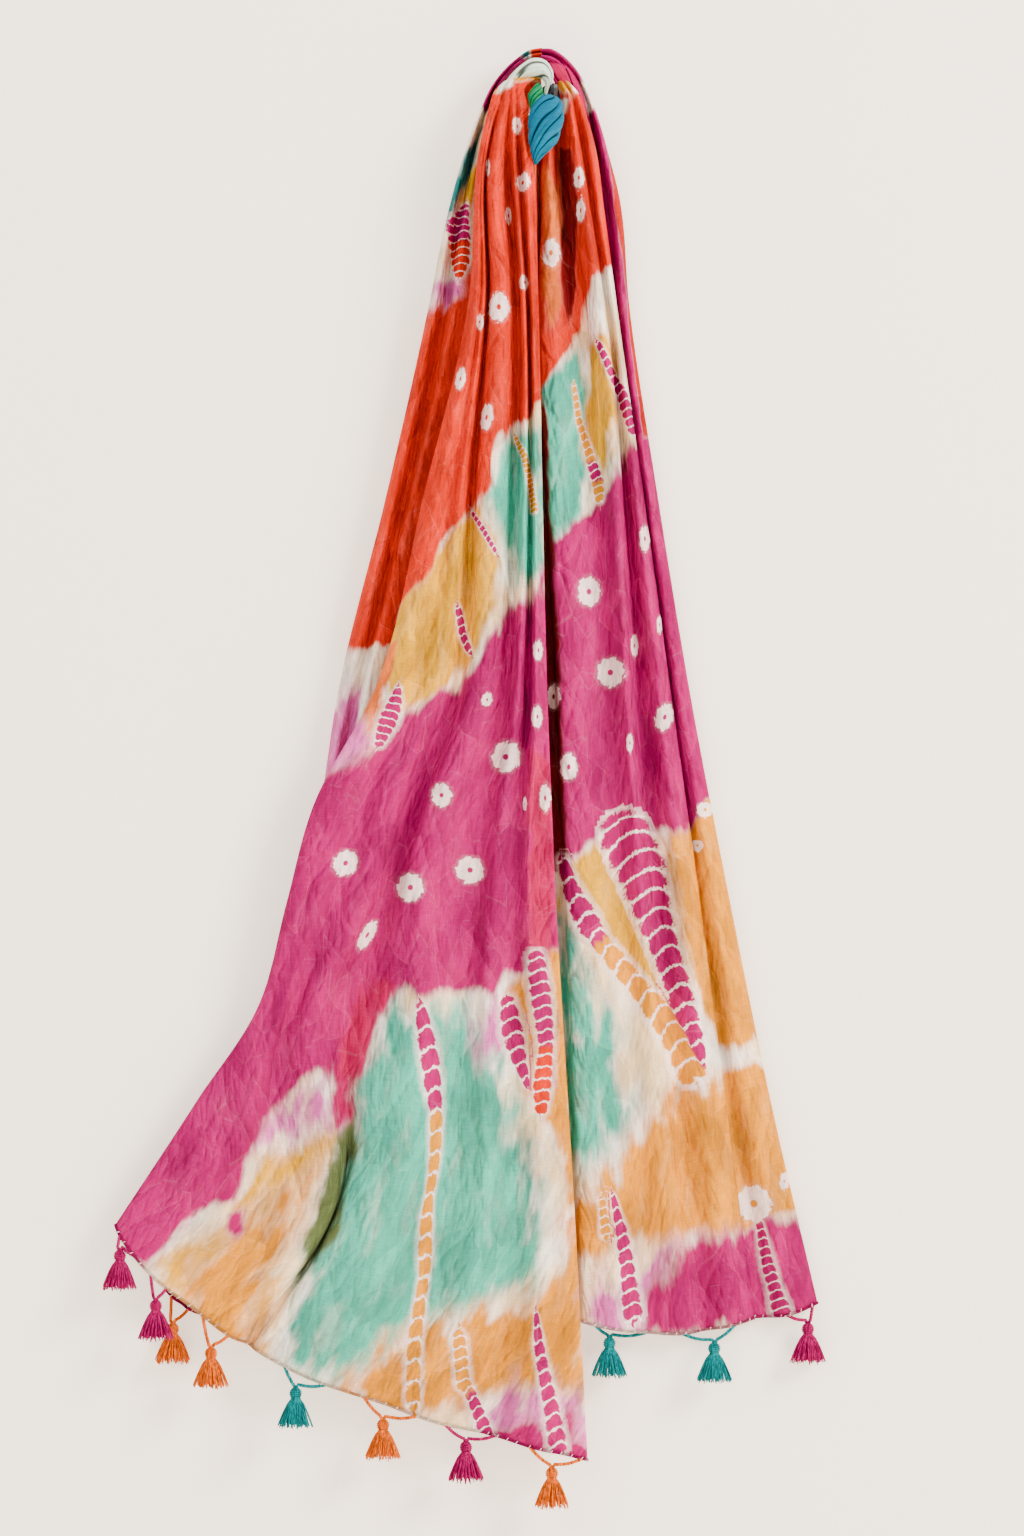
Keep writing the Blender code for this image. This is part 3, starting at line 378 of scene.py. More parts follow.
# Ladders of tied stripes: length of a block, then the middle line in stretches of one dye, each with
# x, y and half width at its points.
LADDERS = {
    "front_tail": [
        (21, [("magenta", [(421, 1006, 5), (425, 1032, 8), (430, 1058, 9), (433, 1088, 8)]),
            ("amber", [(436, 1112, 6), (436, 1133, 6), (434, 1165, 5), (429, 1198, 4), (426, 1220, 6),
              (425, 1257, 7), (424, 1277, 5), (418, 1316, 6), (414, 1345, 7), (413, 1404, 7)])]),
        (15, [("magenta", [(508, 1004, 8), (512, 1030, 11), (518, 1056, 8), (528, 1086, 3)])]),
        (12, [("magenta", [(536, 958, 8), (540, 990, 10), (544, 1020, 9)]),
            ("orange", [(546, 1045, 7), (542, 1085, 9), (541, 1108, 6)])]),
        (5, [("amber", [(515, 437, 2), (524, 457, 2.5), (530, 482, 3), (534, 512, 3)])]),
        (11, [("amber", [(459, 1335, 6), (463, 1382, 7)]), ("magenta", [(469, 1391, 5), (486, 1434, 7)])]),
        (15, [("magenta", [(536, 1310, 2), (539, 1345, 5), (545, 1378, 6), (550, 1402, 7),
              (558, 1446, 9)])]),
        (6, [("magenta", [(472, 512, 1.5), (484, 532, 2.5), (496, 554, 2)])]),
        (9, [("magenta", [(458, 608, 3), (463, 636, 4), (470, 652, 3)])]),
        (8, [("magenta", [(399, 688, 3), (395, 704, 7), (388, 722, 9), (380, 742, 5)])]),
    ],
    "back_tail": [
        (20, [("magenta", [(626, 836, 25), (640, 868, 25), (650, 900, 20), (662, 940, 15), (676, 980, 13),
              (688, 1020, 11), (698, 1050, 8), (704, 1068, 3)])]),
        (20, [("magenta", [(563, 860, 5), (571, 888, 8), (586, 920, 12)]),
            ("amber", [(600, 942, 9), (620, 966, 10), (642, 992, 10), (664, 1020, 13), (682, 1050, 14),
              (692, 1074, 14)])]),
        (9, [("magenta", [(598, 342, 2.5), (612, 373, 4), (622, 392, 5), (629, 414, 5), (633, 430, 4)])]),
        (8, [("amber", [(574, 384, 2), (579, 420, 3), (586, 440, 3.5)]),
            ("magenta", [(592, 460, 5)]),
            ("amber", [(598, 480, 6)]),
            ("magenta", [(600, 498, 4)])]),
        (14, [("magenta", [(613, 1196, 2.5), (617, 1215, 4), (622, 1235, 6), (626, 1260, 7), (630, 1290, 8),
              (633, 1316, 10)])]),
        (9, [("amber", [(602, 1200, 3), (606, 1235, 5)])]),
    ],
    "left_column": [
        (8, [("magenta", [(464, 208, 5), (458, 226, 11)]),
            ("orange", [(459, 238, 11), (460, 260, 9), (459, 272, 5)])]),
    ],
    "right_column": [
        (9, [("magenta", [(761, 1224, 3), (765, 1245, 5), (770, 1270, 6), (776, 1290, 6),
              (783, 1314, 9)])]),
    ],
}

# Each dye, in the order they are laid, with how much it is washed out in its patches, how strong its
# fringe is, and how pale that fringe is. The dark wine and the dark olive are not dyes but painted shade, laid
# the same way in fold valleys.
DYES = {
    "mint": (0.7, 0.8, 0.45), "teal": (0.4, 0.6, 0.45), "yellow": (0.3, 0.8, 0.4), "red": (0.1, 0.2, 0.45),
    "orange": (0.1, 0.4, 0.35), "amber": (0.3, 0.7, 0.4), "olive_fold_shade": (0.2, 0.3, 0.2),
    "peach": (0.3, 0.1, 0.45), "lilac": (0.7, 0.5, 0.5), "magenta": (0.08, 0.8, 0.22),
    "crimson": (0.5, 0.3, 0.0), "valley_shade": (0.4, 0.2, 0.2), "white": (0.0, 0.3, 0.5),
}

# ---------------- twists in the knot

# A twist is a tight bunch of cloth. Its sections run along it and hold
#   side a x, side a z, side b x, side b z, depth of the middle, half depth
Twist = namedtuple("Twist", "name sections pleats turns groove colours")

TWISTS = (
    Twist("crown", [
        (-7.0, 20.6, -5.6, 26.4, 26.0, 1.5),
        (-3.4, 15.0, 0.6, 25.2, 26.0, 4.4),
        (0.6, 8.4, 8.0, 20.2, 24.0, 5.6),
        (4.6, 2.0, 14.4, 12.0, 21.0, 6.0),
        (8.6, -6.0, 19.0, 2.0, 18.5, 6.0),
        (11.6, -17.0, 22.0, -11.0, 17.0, 5.0),
        (16.0, -30.0, 22.6, -28.0, 16.0, 2.0),
    ], pleats=5, turns=0.12, groove=0.10, colours=("magenta", "red", "orange")),
    Twist("inner_arch", [
        (-33.4, 4.2, -33.0, 3.2, 37.0, 1.0),
        (-29.4, 10.2, -27.2, 4.6, 37.6, 4.0),
        (-22.6, 16.8, -20.8, 7.8, 37.6, 6.0),
        (-14.6, 21.6, -15.0, 8.8, 38.3, 6.6),
        (-6.0, 20.2, -9.4, 8.6, 39.0, 6.4),
        (-1.0, 13.6, -6.8, 6.6, 38.5, 6.0),
        (-0.8, 7.4, -5.8, 3.8, 38.5, 5.0),
        (-3.8, 0.6, -6.6, 0.0, 38.0, 3.6),
        (-5.0, -4.6, -6.0, -4.8, 38.0, 1.0),
    ], pleats=4, turns=0.4, groove=0.05, colours=("pale_mint", "white", "mint")),
    # The green lobe's light green streaks are painted highlights.
    Twist("knot_green", [
        (-11.8, 4.6, -10.0, 5.0, 41.0, 1.6),
        (-14.2, 1.6, -8.2, 2.4, 41.5, 4.2),
        (-17.2, -3.4, -7.6, -3.0, 42.0, 5.4),
        (-16.4, -9.4, -10.8, -9.6, 42.0, 5.2),
        (-15.6, -15.4, -14.6, -15.8, 42.0, 2.0),
    ], pleats=6, turns=0.7, groove=0.09, colours=("green", "green_lobe_highlight", "green")),
    Twist("knot_teal", [
        (-7.6, -4.4, -2.4, -4.4, 51.5, 3.0),
        (-10.8, -8.0, 2.8, -7.2, 52.5, 6.4),
        (-14.4, -13.6, 5.0, -12.6, 53.0, 7.8),
        (-16.0, -21.0, 5.4, -20.4, 53.0, 8.2),
        (-16.2, -30.0, 3.8, -28.6, 53.0, 7.8),
        (-15.8, -38.0, 0.6, -37.0, 52.0, 6.4),
        (-14.6, -44.6, -6.4, -44.0, 50.0, 4.2),
        (-13.4, -50.6, -12.0, -50.6, 48.6, 1.2),
    ], pleats=6, turns=0.8, groove=0.13, colours=("blue", "blue", "teal")),
)

# ---------------- tassels

# Each tassel hangs from a twisted loop whose two ends meet the hem of a band:
#   band, x of the loop's first end, x of its second end, x and z of the top of its head, colour
TASSELS = (
    (FRONT_TAIL, -291.0, -281.6, -289.4, -771.0, "magenta"),
    (FRONT_TAIL, -268.8, -257.0, -265.2, -804.0, "magenta"),
    (LEFT_COLUMN, -257.6, -244.6, -255.4, -822.0, "orange"),
    (FRONT_TAIL, -235.3, -215.6, -228.6, -836.0, "orange"),
    (FRONT_TAIL, -179.9, -151.3, -171.9, -862.0, "teal"),
    (FRONT_TAIL, -125.9, -92.6, -113.9, -884.0, "orange"),
    (FRONT_TAIL, -70.6, -40.6, -58.6, -898.7, "magenta"),
    (FRONT_TAIL, -17.3, 17.4, -1.3, -915.5, "orange"),
    (BACK_TAIL, 26.7, 63.4, 37.4, -831.0, "teal"),
    (BACK_TAIL, 88.1, 122.4, 107.4, -834.0, "teal"),
    (RIGHT_COLUMN, 155.4, 175.0, 170.6, -822.0, "magenta"),
)

# Sizes in mm, apart from counts and shares.
HEAD_RADIUS = 4.0
HEAD_WRAPS = 8
WRAP_RADIUS = 0.42
NECK_RADIUS = 2.9
BINDING_RADIUS = 0.5
SKIRT_LENGTH = 19.0
SKIRT_RADIUS = 11.5
SKIRT_TOP_RADIUS = 2.4
SKIRT_FLARE = 0.72
STRAND_RADIUS = 0.42
CORD_STRAND_RADIUS = 0.74
CORD_STRAND_OFFSET = 0.6
CORD_PITCH = 3.6
CORD_STEP = 0.5
LOOP_BOTTOM_RADIUS = 1.6
LOOP_SLACK = 0.07
LOOP_SEAT = 0.2
TASSEL_GAP = 0.4
HEM_ROLL_RADIUS = 1.05
HEM_STITCH_STEP = 6.5
STITCH_REACH = 1.15
STITCH_THICKNESS = 0.26
CRINKLE_HEIGHT = 0.55
CRINKLE_WIDTH = 9
CRINKLE_LENGTH = 36
SHEET_THICKNESS = 0.5

# Down from a tassel's top, in head radii: the first turn of its neck, from turn to turn, its skirt.
NECK_TOP = 1.78
NECK_PITCH = 0.17
SKIRT_TOP = 1.72

# Rings of a tassel's strands: number, share of the spread, share of the length.
STRAND_RINGS = ((44, 1.0, 1.0), (36, 0.78, 0.97), (26, 0.52, 0.93), (12, 0.22, 0.9))

# The mesh of a twist, and the span of its UV map in metres, round it and along it.
TWIST_SEGMENTS = 112
TWIST_RINGS = 72
TWIST_GIRTH = 0.006
TWIST_LENGTH = 0.05

# Points to a fold where a loop's place on a hem is looked for.
HEM_SAMPLES = 40

# Where a tied dot ends, as a share of its size, and a ladder, in chart units past its side.
DOT_REACH = 1.35
LADDER_REACH = 7

# The field of a dye far from all its patches.
FIELD_FLOOR = -40.0

# ---------------- the studio

# Name, place, size, power and colour of each light, in metres and watts.
LIGHTS = (
    ("key", (2.1, -1.9, 1.0), 1.2, 195.0, (1.0, 0.97, 0.93)),
    ("fill", (-1.3, -2.5, 0.8), 2.0, 56.0, (0.97, 0.985, 1.0)),
    ("behind", (-0.3, 1.5, 0.3), 1.4, 22.0, (1.0, 1.0, 1.0)),
    ("top", (0.2, -1.2, 1.9), 1.6, 20.0, (1.0, 1.0, 1.0)),
)
LIGHT_AIM = (0, 0, -0.35)
WORLD_STRENGTH = 0.66
WALL_GLOW = 0.9
STAGE_SIZE = 12.0

# The camera's sensor in mm, and how far off the wall, in metres, lies the plane that the chart fills.
SENSOR_WIDTH = 36.0
CAMERA_PLANE = 0.03


# ---------------- user settings

def srgb(red, green, blue):
    """A linear colour from display values between 0 and 255."""
    out = []
    for value in (red, green, blue):
        value /= 255
        out.append(value / 12.92 if value <= 0.04045 else ((value + 0.055) / 1.055) ** 2.4)
    return tuple(out)


def colour_setting(name, description, red, green, blue):
    return bpy.props.FloatVectorProperty(name=name, description=description, size=3, min=0.0, max=1.0,
                                         subtype="COLOR", default=srgb(red, green, blue))


class StoleColours(bpy.types.PropertyGroup):
    white: colour_setting("White", "Undyed cloth", 246, 236, 222)
    cream: colour_setting("Cream", "Undyed cloth stained by the dyes", 248, 212, 158)
    resist: colour_setting("Resist", "Cloth kept white by the ties", 252, 224, 218)
    mint: colour_setting("Mint", "Pale green-blue dye", 62, 168, 143)
    pale_mint: colour_setting("Pale mint", "Mint dye washed out", 184, 214, 192)
    teal: colour_setting("Teal", "Deep green-blue dye", 0, 102, 104)
    blue: colour_setting("Blue", "Blue of the front twist", 0, 92, 122)
    green: colour_setting("Green", "Green of the small lobe", 0, 110, 77)
    # Painted highlight: the light green streaks stand for light catching the small lobe's pleats.
    green_lobe_highlight: colour_setting("Leaf", "Light green of the small lobe", 42, 154, 72)
    yellow: colour_setting("Yellow", "Yellow dye", 210, 148, 0)
    amber: colour_setting("Amber", "Amber dye", 214, 132, 0)
    # Painted shade: a dark olive laid in the fold between two layers of cloth.
    olive_fold_shade: colour_setting("Olive", "Yellow and green dyes seen through each other", 84, 96, 56)
    crimson: colour_setting("Crimson", "Magenta dye over red", 166, 0, 70)
    # Painted shade: a dark wine laid in the valley where the back tail turns under the front tail.
    valley_shade: colour_setting("Deep", "Dye in the valley between two folds", 104, 10, 16)
    peach: colour_setting("Peach", "Orange dye washed out", 210, 97, 34)
    orange: colour_setting("Orange", "Orange-red dye", 198, 31, 0)
    red: colour_setting("Red", "Red dye", 164, 6, 4)
    lilac: colour_setting("Lilac", "Magenta dye washed out", 200, 85, 155)
    magenta: colour_setting("Magenta", "Magenta dye", 159, 0, 88)
    thread_magenta: colour_setting("Magenta thread", "Magenta tassels", 150, 0, 79)
    thread_orange: colour_setting("Orange thread", "Orange tassels", 206, 92, 0)
    thread_teal: colour_setting("Teal thread", "Teal tassels", 0, 115, 117)
    metal: colour_setting("Hook", "Painted steel of the hook", 47, 49, 53)
    wall: colour_setting("Wall", "Wall and floor", 248, 236, 222)


def length_setting(name, description, default, low):
    return bpy.props.FloatProperty(name=name, description=description, default=default, min=low,
                                   unit="LENGTH")


class StoleSizes(bpy.types.PropertyGroup):
    sheet_thickness: length_setting("Cloth thickness", "Thickness of the sheets", SHEET_THICKNESS * MM, 0.0001)
    crinkle: length_setting("Crinkle", "Height of the small crinkles", CRINKLE_HEIGHT * MM, 0.0)
    weave: length_setting("Weave pitch", "Distance from thread to thread", 0.0009, 0.0002)
    hem_radius: length_setting("Hem roll", "Radius of the rolled hem", HEM_ROLL_RADIUS * MM, 0.0003)
    strand_radius: length_setting("Strand radius", "Radius of a tassel's strand", STRAND_RADIUS * MM, 0.0001)
    camera_distance: length_setting("Camera distance", "From camera to cloth", 2.9, 0.5)


# ---------------- curves and bands

def smooth(knots, values, at):
    """Read a smooth curve through `values`, one row for each of the rising `knots`, at each `at`."""
    knots = np.asarray(knots, float)
    values = np.asarray(values, float)
    at = np.clip(np.atleast_1d(at), knots[0], knots[-1])
    slopes = np.gradient(values, knots, axis=0)
    index = np.clip(np.searchsorted(knots, at, side="right") - 1, 0, len(knots) - 2)
    step = knots[index + 1] - knots[index]
    f = (at - knots[index]) / step
    shape = (-1,) + (1,) * (values.ndim - 1)
    f = f.reshape(shape)
    step = step.reshape(shape)
    start_weight = 2 * f ** 3 - 3 * f ** 2 + 1
    start_slope = f ** 3 - 2 * f ** 2 + f
    end_slope = f ** 3 - f ** 2
    return (start_weight * values[index] + (1 - start_weight) * values[index + 1]
            + step * (start_slope * slopes[index] + end_slope * slopes[index + 1]))


def station_positions(band):
    """Distance of each station from the first one, measured down the middle of the band."""
    left_x, left_z, right_x, right_z, back, front, _ = np.diff(band.stations, axis=0).T
    forward = (back + front) / 2
    left = np.sqrt(left_x ** 2 + left_z ** 2 + forward ** 2)
    right = np.sqrt(right_x ** 2 + right_z ** 2 + forward ** 2)
    return np.concatenate([[0.0], np.cumsum((left + right) / 2)])


def band_points(band, across, along):
    """Points of a band's middle surface in mm, one row for each `along`, 0 at the knot."""
    positions = station_positions(band)
    key_positions = positions[list(band.keys)]
    fold_numbers = np.arange(len(band.folds))
    starts, shares, lifts = (np.array(column) for column in zip(*band.folds.values()))
    points = np.empty((len(along), len(across), 3))
    for column, (fold_at, start) in enumerate(zip(across, smooth(fold_numbers, starts, across))):
        at = start + (positions[-1] - start) * along
        left_x, left_z, right_x, right_z, back, front, sag = smooth(positions, band.stations, at).T
        share = smooth(fold_numbers, smooth(key_positions, shares.T, at).T, fold_at)[0]
        lift = smooth(fold_numbers, smooth(key_positions, lifts.T, at).T, fold_at)[0]
        bow = np.sin(math.pi * np.clip(share, 0, 1) ** band.sag_skew)
        points[:, column, 0] = left_x + (right_x - left_x) * share
        points[:, column, 1] = -(back + (front - back) * lift)
        points[:, column, 2] = left_z + (right_z - left_z) * share - sag * bow
    return points


def cloth_coordinates(points):
    """Distance across and along the cloth in mm at each point of a grid of points."""
    across = np.linalg.norm(np.diff(points, axis=1), axis=2)
    along = np.linalg.norm(np.diff(points, axis=0), axis=2)
    u = np.pad(np.cumsum(across, axis=1), ((0, 0), (1, 0)))
    v = np.pad(np.cumsum(along, axis=0), ((1, 0), (0, 0)))
    middle = points.shape[1] // 2
    return u - u[:, middle:middle + 1], v


def crease(band, points, across, along):
    """Push the sheet in and out along its creases and small crinkles."""
    pitch = np.gradient(across)
    width = np.linalg.norm(np.gradient(points, axis=1), axis=2) / pitch
    width = np.maximum(width, 1.0)
    push = np.zeros(points.shape[:2])
    for fold_a, along_a, fold_b, along_b, half_width, height in band.creases:
        run = np.clip((along - along_a) / (along_b - along_a), 0, 1)[:, None]
        wander = 0.12 * np.sin(run * 9 + fold_a) + 0.06 * np.sin(run * 23 + fold_b)
        middle = fold_a + (fold_b - fold_a) * run + wander
        away = (across[None, :] - middle) * width / half_width
        push += height * np.exp(-away ** 2) * np.sin(math.pi * run) ** 0.7
    u, v = cloth_coordinates(points)
    crinkle = np.empty(points.shape[:2])
    for row, column in np.ndindex(crinkle.shape):
        spot = Vector((u[row, column] / CRINKLE_WIDTH, v[row, column] / CRINKLE_LENGTH, len(band.folds)))
        left = noise.noise(Vector((spot.x + spot.y * 1.3, spot.y - spot.x * 0.12, spot.z + 7)) * 0.8)
        right = noise.noise(Vector((spot.x - spot.y * 1.5, spot.y + spot.x * 0.15, spot.z + 3)) * 1.1)
        ridges = (1 - abs(left)) ** 5 + 0.7 * (1 - abs(right)) ** 5
        crinkle[row, column] = noise.noise(spot) + 0.4 * noise.noise(spot * 2.3) + 0.9 * (ridges - 0.6)
    # The crinkles die away at the knot, at the hem and where the folds are tight.
    room = np.clip(along * 12, 0.1, 1) * np.clip((1 - along) * 25, 0.15, 1)
    gather = np.clip(width / 9, 0.15, 1)
    push = (push * np.clip(width / 12, 0.2, 1)
            + crinkle * gather * bpy.context.scene.stole_sizes.crinkle / MM) * room[:, None]
    points[:, :, 1] -= push
    return points


# ---------------- the dye fields

def to_chart(points):
    """Place on the dye chart of each point in mm."""
    return np.stack([CHART_X + points[:, 0] / CHART_UNIT, CHART_Y - points[:, 2] / CHART_UNIT], axis=1)


def outline_distance(spots, outline):
    """Distance of each spot to an outline, positive inside it."""
    corners = np.array(outline, float)
    nearest = np.full(len(spots), np.inf)
    inside = np.zeros(len(spots), bool)
    for start, end in zip(corners, np.roll(corners, -1, axis=0)):
        edge = end - start
        away = spots - start
        f = np.clip(away @ edge / (edge @ edge), 0, 1)
        nearest = np.minimum(nearest, np.linalg.norm(away - f[:, None] * edge, axis=1))
        if edge[1]:
            straddles = (start[1] > spots[:, 1]) != (end[1] > spots[:, 1])
            inside ^= straddles & (spots[:, 0] < start[0] + away[:, 1] * edge[0] / edge[1])
    return np.where(inside, nearest, -nearest)


def dye_fields(band_name, spots):
    """For each dye, how far each spot is inside its patches, as a multiple of the edge's softness."""
    x, y = spots.T
    # The edges wander by a few units, the soft ones most.
    drift = np.stack([2.2 * np.sin(y / 17 + 1.7 * np.sin(x / 23)) + 1.2 * np.sin(y / 6 + x / 9),
                      3.0 * np.sin(x / 13 + 1.3 * np.sin(y / 29)) + 1.4 * np.sin(x / 5 + y / 11)], axis=1)
    fields = {dye: np.full(len(spots), FIELD_FLOOR) for dye in DYES}
    for dye, softness, outline in PATCHES[band_name]:
        drifted = spots + drift * min(1.0, softness / 6)
        fields[dye] = np.maximum(fields[dye], outline_distance(drifted, outline) / softness)
    return fields


def dot_places(band_name, spots):
    """Each spot's place in the nearest tied dot, whose rim is at 1, and whether it is near one."""
    place = np.zeros((len(spots), 3))
    best = np.full(len(spots), np.inf)
    for x, y, width, height, tilt in TIED_DOTS[band_name]:
        turn = math.radians(tilt)
        away = spots - (x, y)
        dot_x = (away[:, 0] * math.cos(turn) + away[:, 1] * math.sin(turn)) / (width / 2)
        dot_y = (away[:, 1] * math.cos(turn) - away[:, 0] * math.sin(turn)) / (height / 2)
        reach = np.hypot(dot_x, dot_y)
        near = reach < best
        best[near] = reach[near]
        place[near] = np.stack([dot_x, dot_y, reach < DOT_REACH], axis=1)[near]
    return place


def ladder_places(band_name, spots):
    """Place across and along the nearest ladder, whose sides are at 1, and its blocks' dye number."""
    place = np.zeros((len(spots), 3))
    dyes = np.zeros(len(spots))
    best = np.full(len(spots), np.inf)
    for block, stretches in LADDERS[band_name]:
        line = [(*point, dye) for dye, points in stretches for point in points]
        done = 0.0
        for (x0, y0, half0, dye), (x1, y1, half1, _) in zip(line, line[1:]):
            start = np.array((x0, y0), float)
            edge = np.array((x1, y1), float) - start
            length = np.linalg.norm(edge)
            away = spots - start
            reach = away @ edge / length ** 2
            f = np.clip(reach, 0, 1)
            side = np.sign(away[:, 0] * edge[1] - away[:, 1] * edge[0])
            half = half0 + (half1 - half0) * f
            across = np.linalg.norm(away - f[:, None] * edge, axis=1) / half
            near = across < best
            best[near] = across[near]
            along = (done + reach * length) / block - half / 55 * across ** 2
            place[near] = np.stack([side * across, along, across < 1 + LADDER_REACH / half], axis=1)[near]
            dyes[near] = list(DYES).index(dye)
            done += length
    return place, dyes


def store(mesh, name, kind, values, key="value"):
    """Store a value for each vertex of a mesh."""
    mesh.attributes.new(name, kind, "POINT").data.foreach_set(key, np.ravel(values))


def paint_dyes(mesh, band_name):
    """Store the dye fields, the dots and the ladders on a mesh that is in metres."""
    points = np.empty(len(mesh.vertices) * 3)
    mesh.vertices.foreach_get("co", points)
    spots = to_chart(points.reshape(-1, 3) / MM)
    for dye, field in dye_fields(band_name, spots).items():
        store(mesh, "dye_" + dye, "FLOAT", field)
    store(mesh, "tied_dot", "FLOAT_VECTOR", dot_places(band_name, spots), "vector")
    places, dyes = ladder_places(band_name, spots)
    store(mesh, "ladder", "FLOAT_VECTOR", places, "vector")
    colours = bpy.context.scene.stole_colours
    palette = np.array([opaque(getattr(colours, dye)) for dye in DYES])
    store(mesh, "ladder_dye", "FLOAT_COLOR", palette[dyes.astype(int)], "color")


# ---------------- node helpers

class Wire:
    """A node's output that adds, subtracts, multiplies and divides as a number does, by Math nodes."""

    def __init__(self, socket):
        self.socket = socket

    def __add__(self, other):
        return compute("ADD", self, other)

    def __sub__(self, other):
        return compute("SUBTRACT", self, other)

    def __mul__(self, other):
        return compute("MULTIPLY", self, other)

    def __rtruediv__(self, other):
        return compute("DIVIDE", other, self)


def feed(socket, value):
    """Link a wire to an input socket, or set a constant there."""
    if isinstance(value, Wire):
        socket.id_data.links.new(value.socket, socket)
    else:
        socket.default_value = value


def add_node(kind, inputs, tree=None, **settings):
    """Add a node with its settings and inputs. Its tree is that of its wires, if none is given."""
    tree = tree or next(value.socket.id_data for value in inputs.values() if isinstance(value, Wire))
    node = tree.nodes.new(kind)
    for name, value in settings.items():
        setattr(node, name, value)
    for key, value in inputs.items():
        feed(node.inputs[key], value)
    return node


def result(kind, inputs, output=0, **settings):
    """One output of a new node."""
    return Wire(add_node(kind, inputs, **settings).outputs[output])


def compute(operation, *values):
    """The result of a Math node."""
    return result("ShaderNodeMath", dict(enumerate(values)), operation=operation)


def vector_math(operation, first, second):
    """The result of a Vector Math node."""
    return result("ShaderNodeVectorMath", {0: first, 1: second}, operation=operation)


def scaled(colour, share):
    """A colour made darker or lighter."""
    return result("ShaderNodeVectorMath", {0: colour, "Scale": share}, operation="SCALE")


def parts(vector):
    """The x, y and z of a vector."""
    return [Wire(output) for output in add_node("ShaderNodeSeparateXYZ", {0: vector}).outputs]


def ramp(value, low, high, out_low=0.0, out_high=1.0):
    """A smooth step of a value from out_low to out_high."""
    return result("ShaderNodeMapRange", {"Value": value, "From Min": low, "From Max": high,
                                         "To Min": out_low, "To Max": out_high},
                  interpolation_type="SMOOTHSTEP")


def blend(share, under, over):
    """Mix two colours."""
    return result("ShaderNodeMix", {0: share, 6: under, 7: over}, 2, data_type="RGBA")


def stretch(place, x, y, z=1.0):
    """Scale a place's parts."""
    return result("ShaderNodeMapping", {"Vector": place, "Scale": (x, y, z)})


def noise_at(place, detail=2.0, roughness=0.5, scale=1.0):
    """Noise between 0 and 1."""
    return result("ShaderNodeTexNoise", {"Vector": place, "Scale": scale, "Detail": detail,
                                         "Roughness": roughness})


def bump(height, strength, distance, **normal):
    """A normal bent by a height, over another Normal if one is given."""
    return result("ShaderNodeBump", {"Height": height, "Strength": strength, "Distance": distance, **normal})


def cloth_place(tree):
    """Place on the cloth in metres."""
    return result("ShaderNodeUVMap", {}, tree=tree, uv_map="cloth")


def object_place(tree):
    """Place in the piece in metres."""
    return result("ShaderNodeTexCoord", {}, "Object", tree=tree)


def attribute(tree, name, output="Fac"):
    """A value stored on each vertex."""
    return result("ShaderNodeAttribute", {}, output, tree=tree, attribute_name=name)


def new_group(name, inputs, outputs):
    """An empty shader group, its inputs as wires, and its output sockets."""
    group = bpy.data.node_groups.new(name, "ShaderNodeTree")
    for direction, sockets in (("INPUT", inputs), ("OUTPUT", outputs)):
        for socket_name, kind in sockets.items():
            group.interface.new_socket(name=socket_name, in_out=direction, socket_type="NodeSocket" + kind)
    wires = [Wire(socket) for socket in group.nodes.new("NodeGroupInput").outputs]
    return group, wires[:len(inputs)], group.nodes.new("NodeGroupOutput").inputs


def use_group(name, make, **inputs):
    """Place a shared group, made at its first use. Its outputs come as wires by name."""
    node = add_node("ShaderNodeGroup", inputs, node_tree=bpy.data.node_groups.get(name) or make())
    return {output.name: Wire(output) for output in node.outputs}


def opaque(colour):
    return (*colour, 1.0)


# ---------------- shared finishes

def crepe_weave_group():
    """Crossed threads with slubs: a height and a tint around 1."""
    group, (cloth, pitch), outs = new_group("Crepe Weave", dict(Cloth="Vector", Pitch="Float"),
                                            dict(Height="Float", Tint="Float"))
    x, y, _ = parts(cloth)
    turns = 2 * math.pi / pitch
    threads = compute("SINE", x * turns) * compute("SINE", y * turns)
    slubs = noise_at(stretch(cloth, 900, 90)) + noise_at(stretch(cloth, 90, 900))
    feed(outs["Height"], threads * 0.35 + slubs)
    feed(outs["Tint"], (slubs - 1.0) * 0.42 + 1.0)
    return group


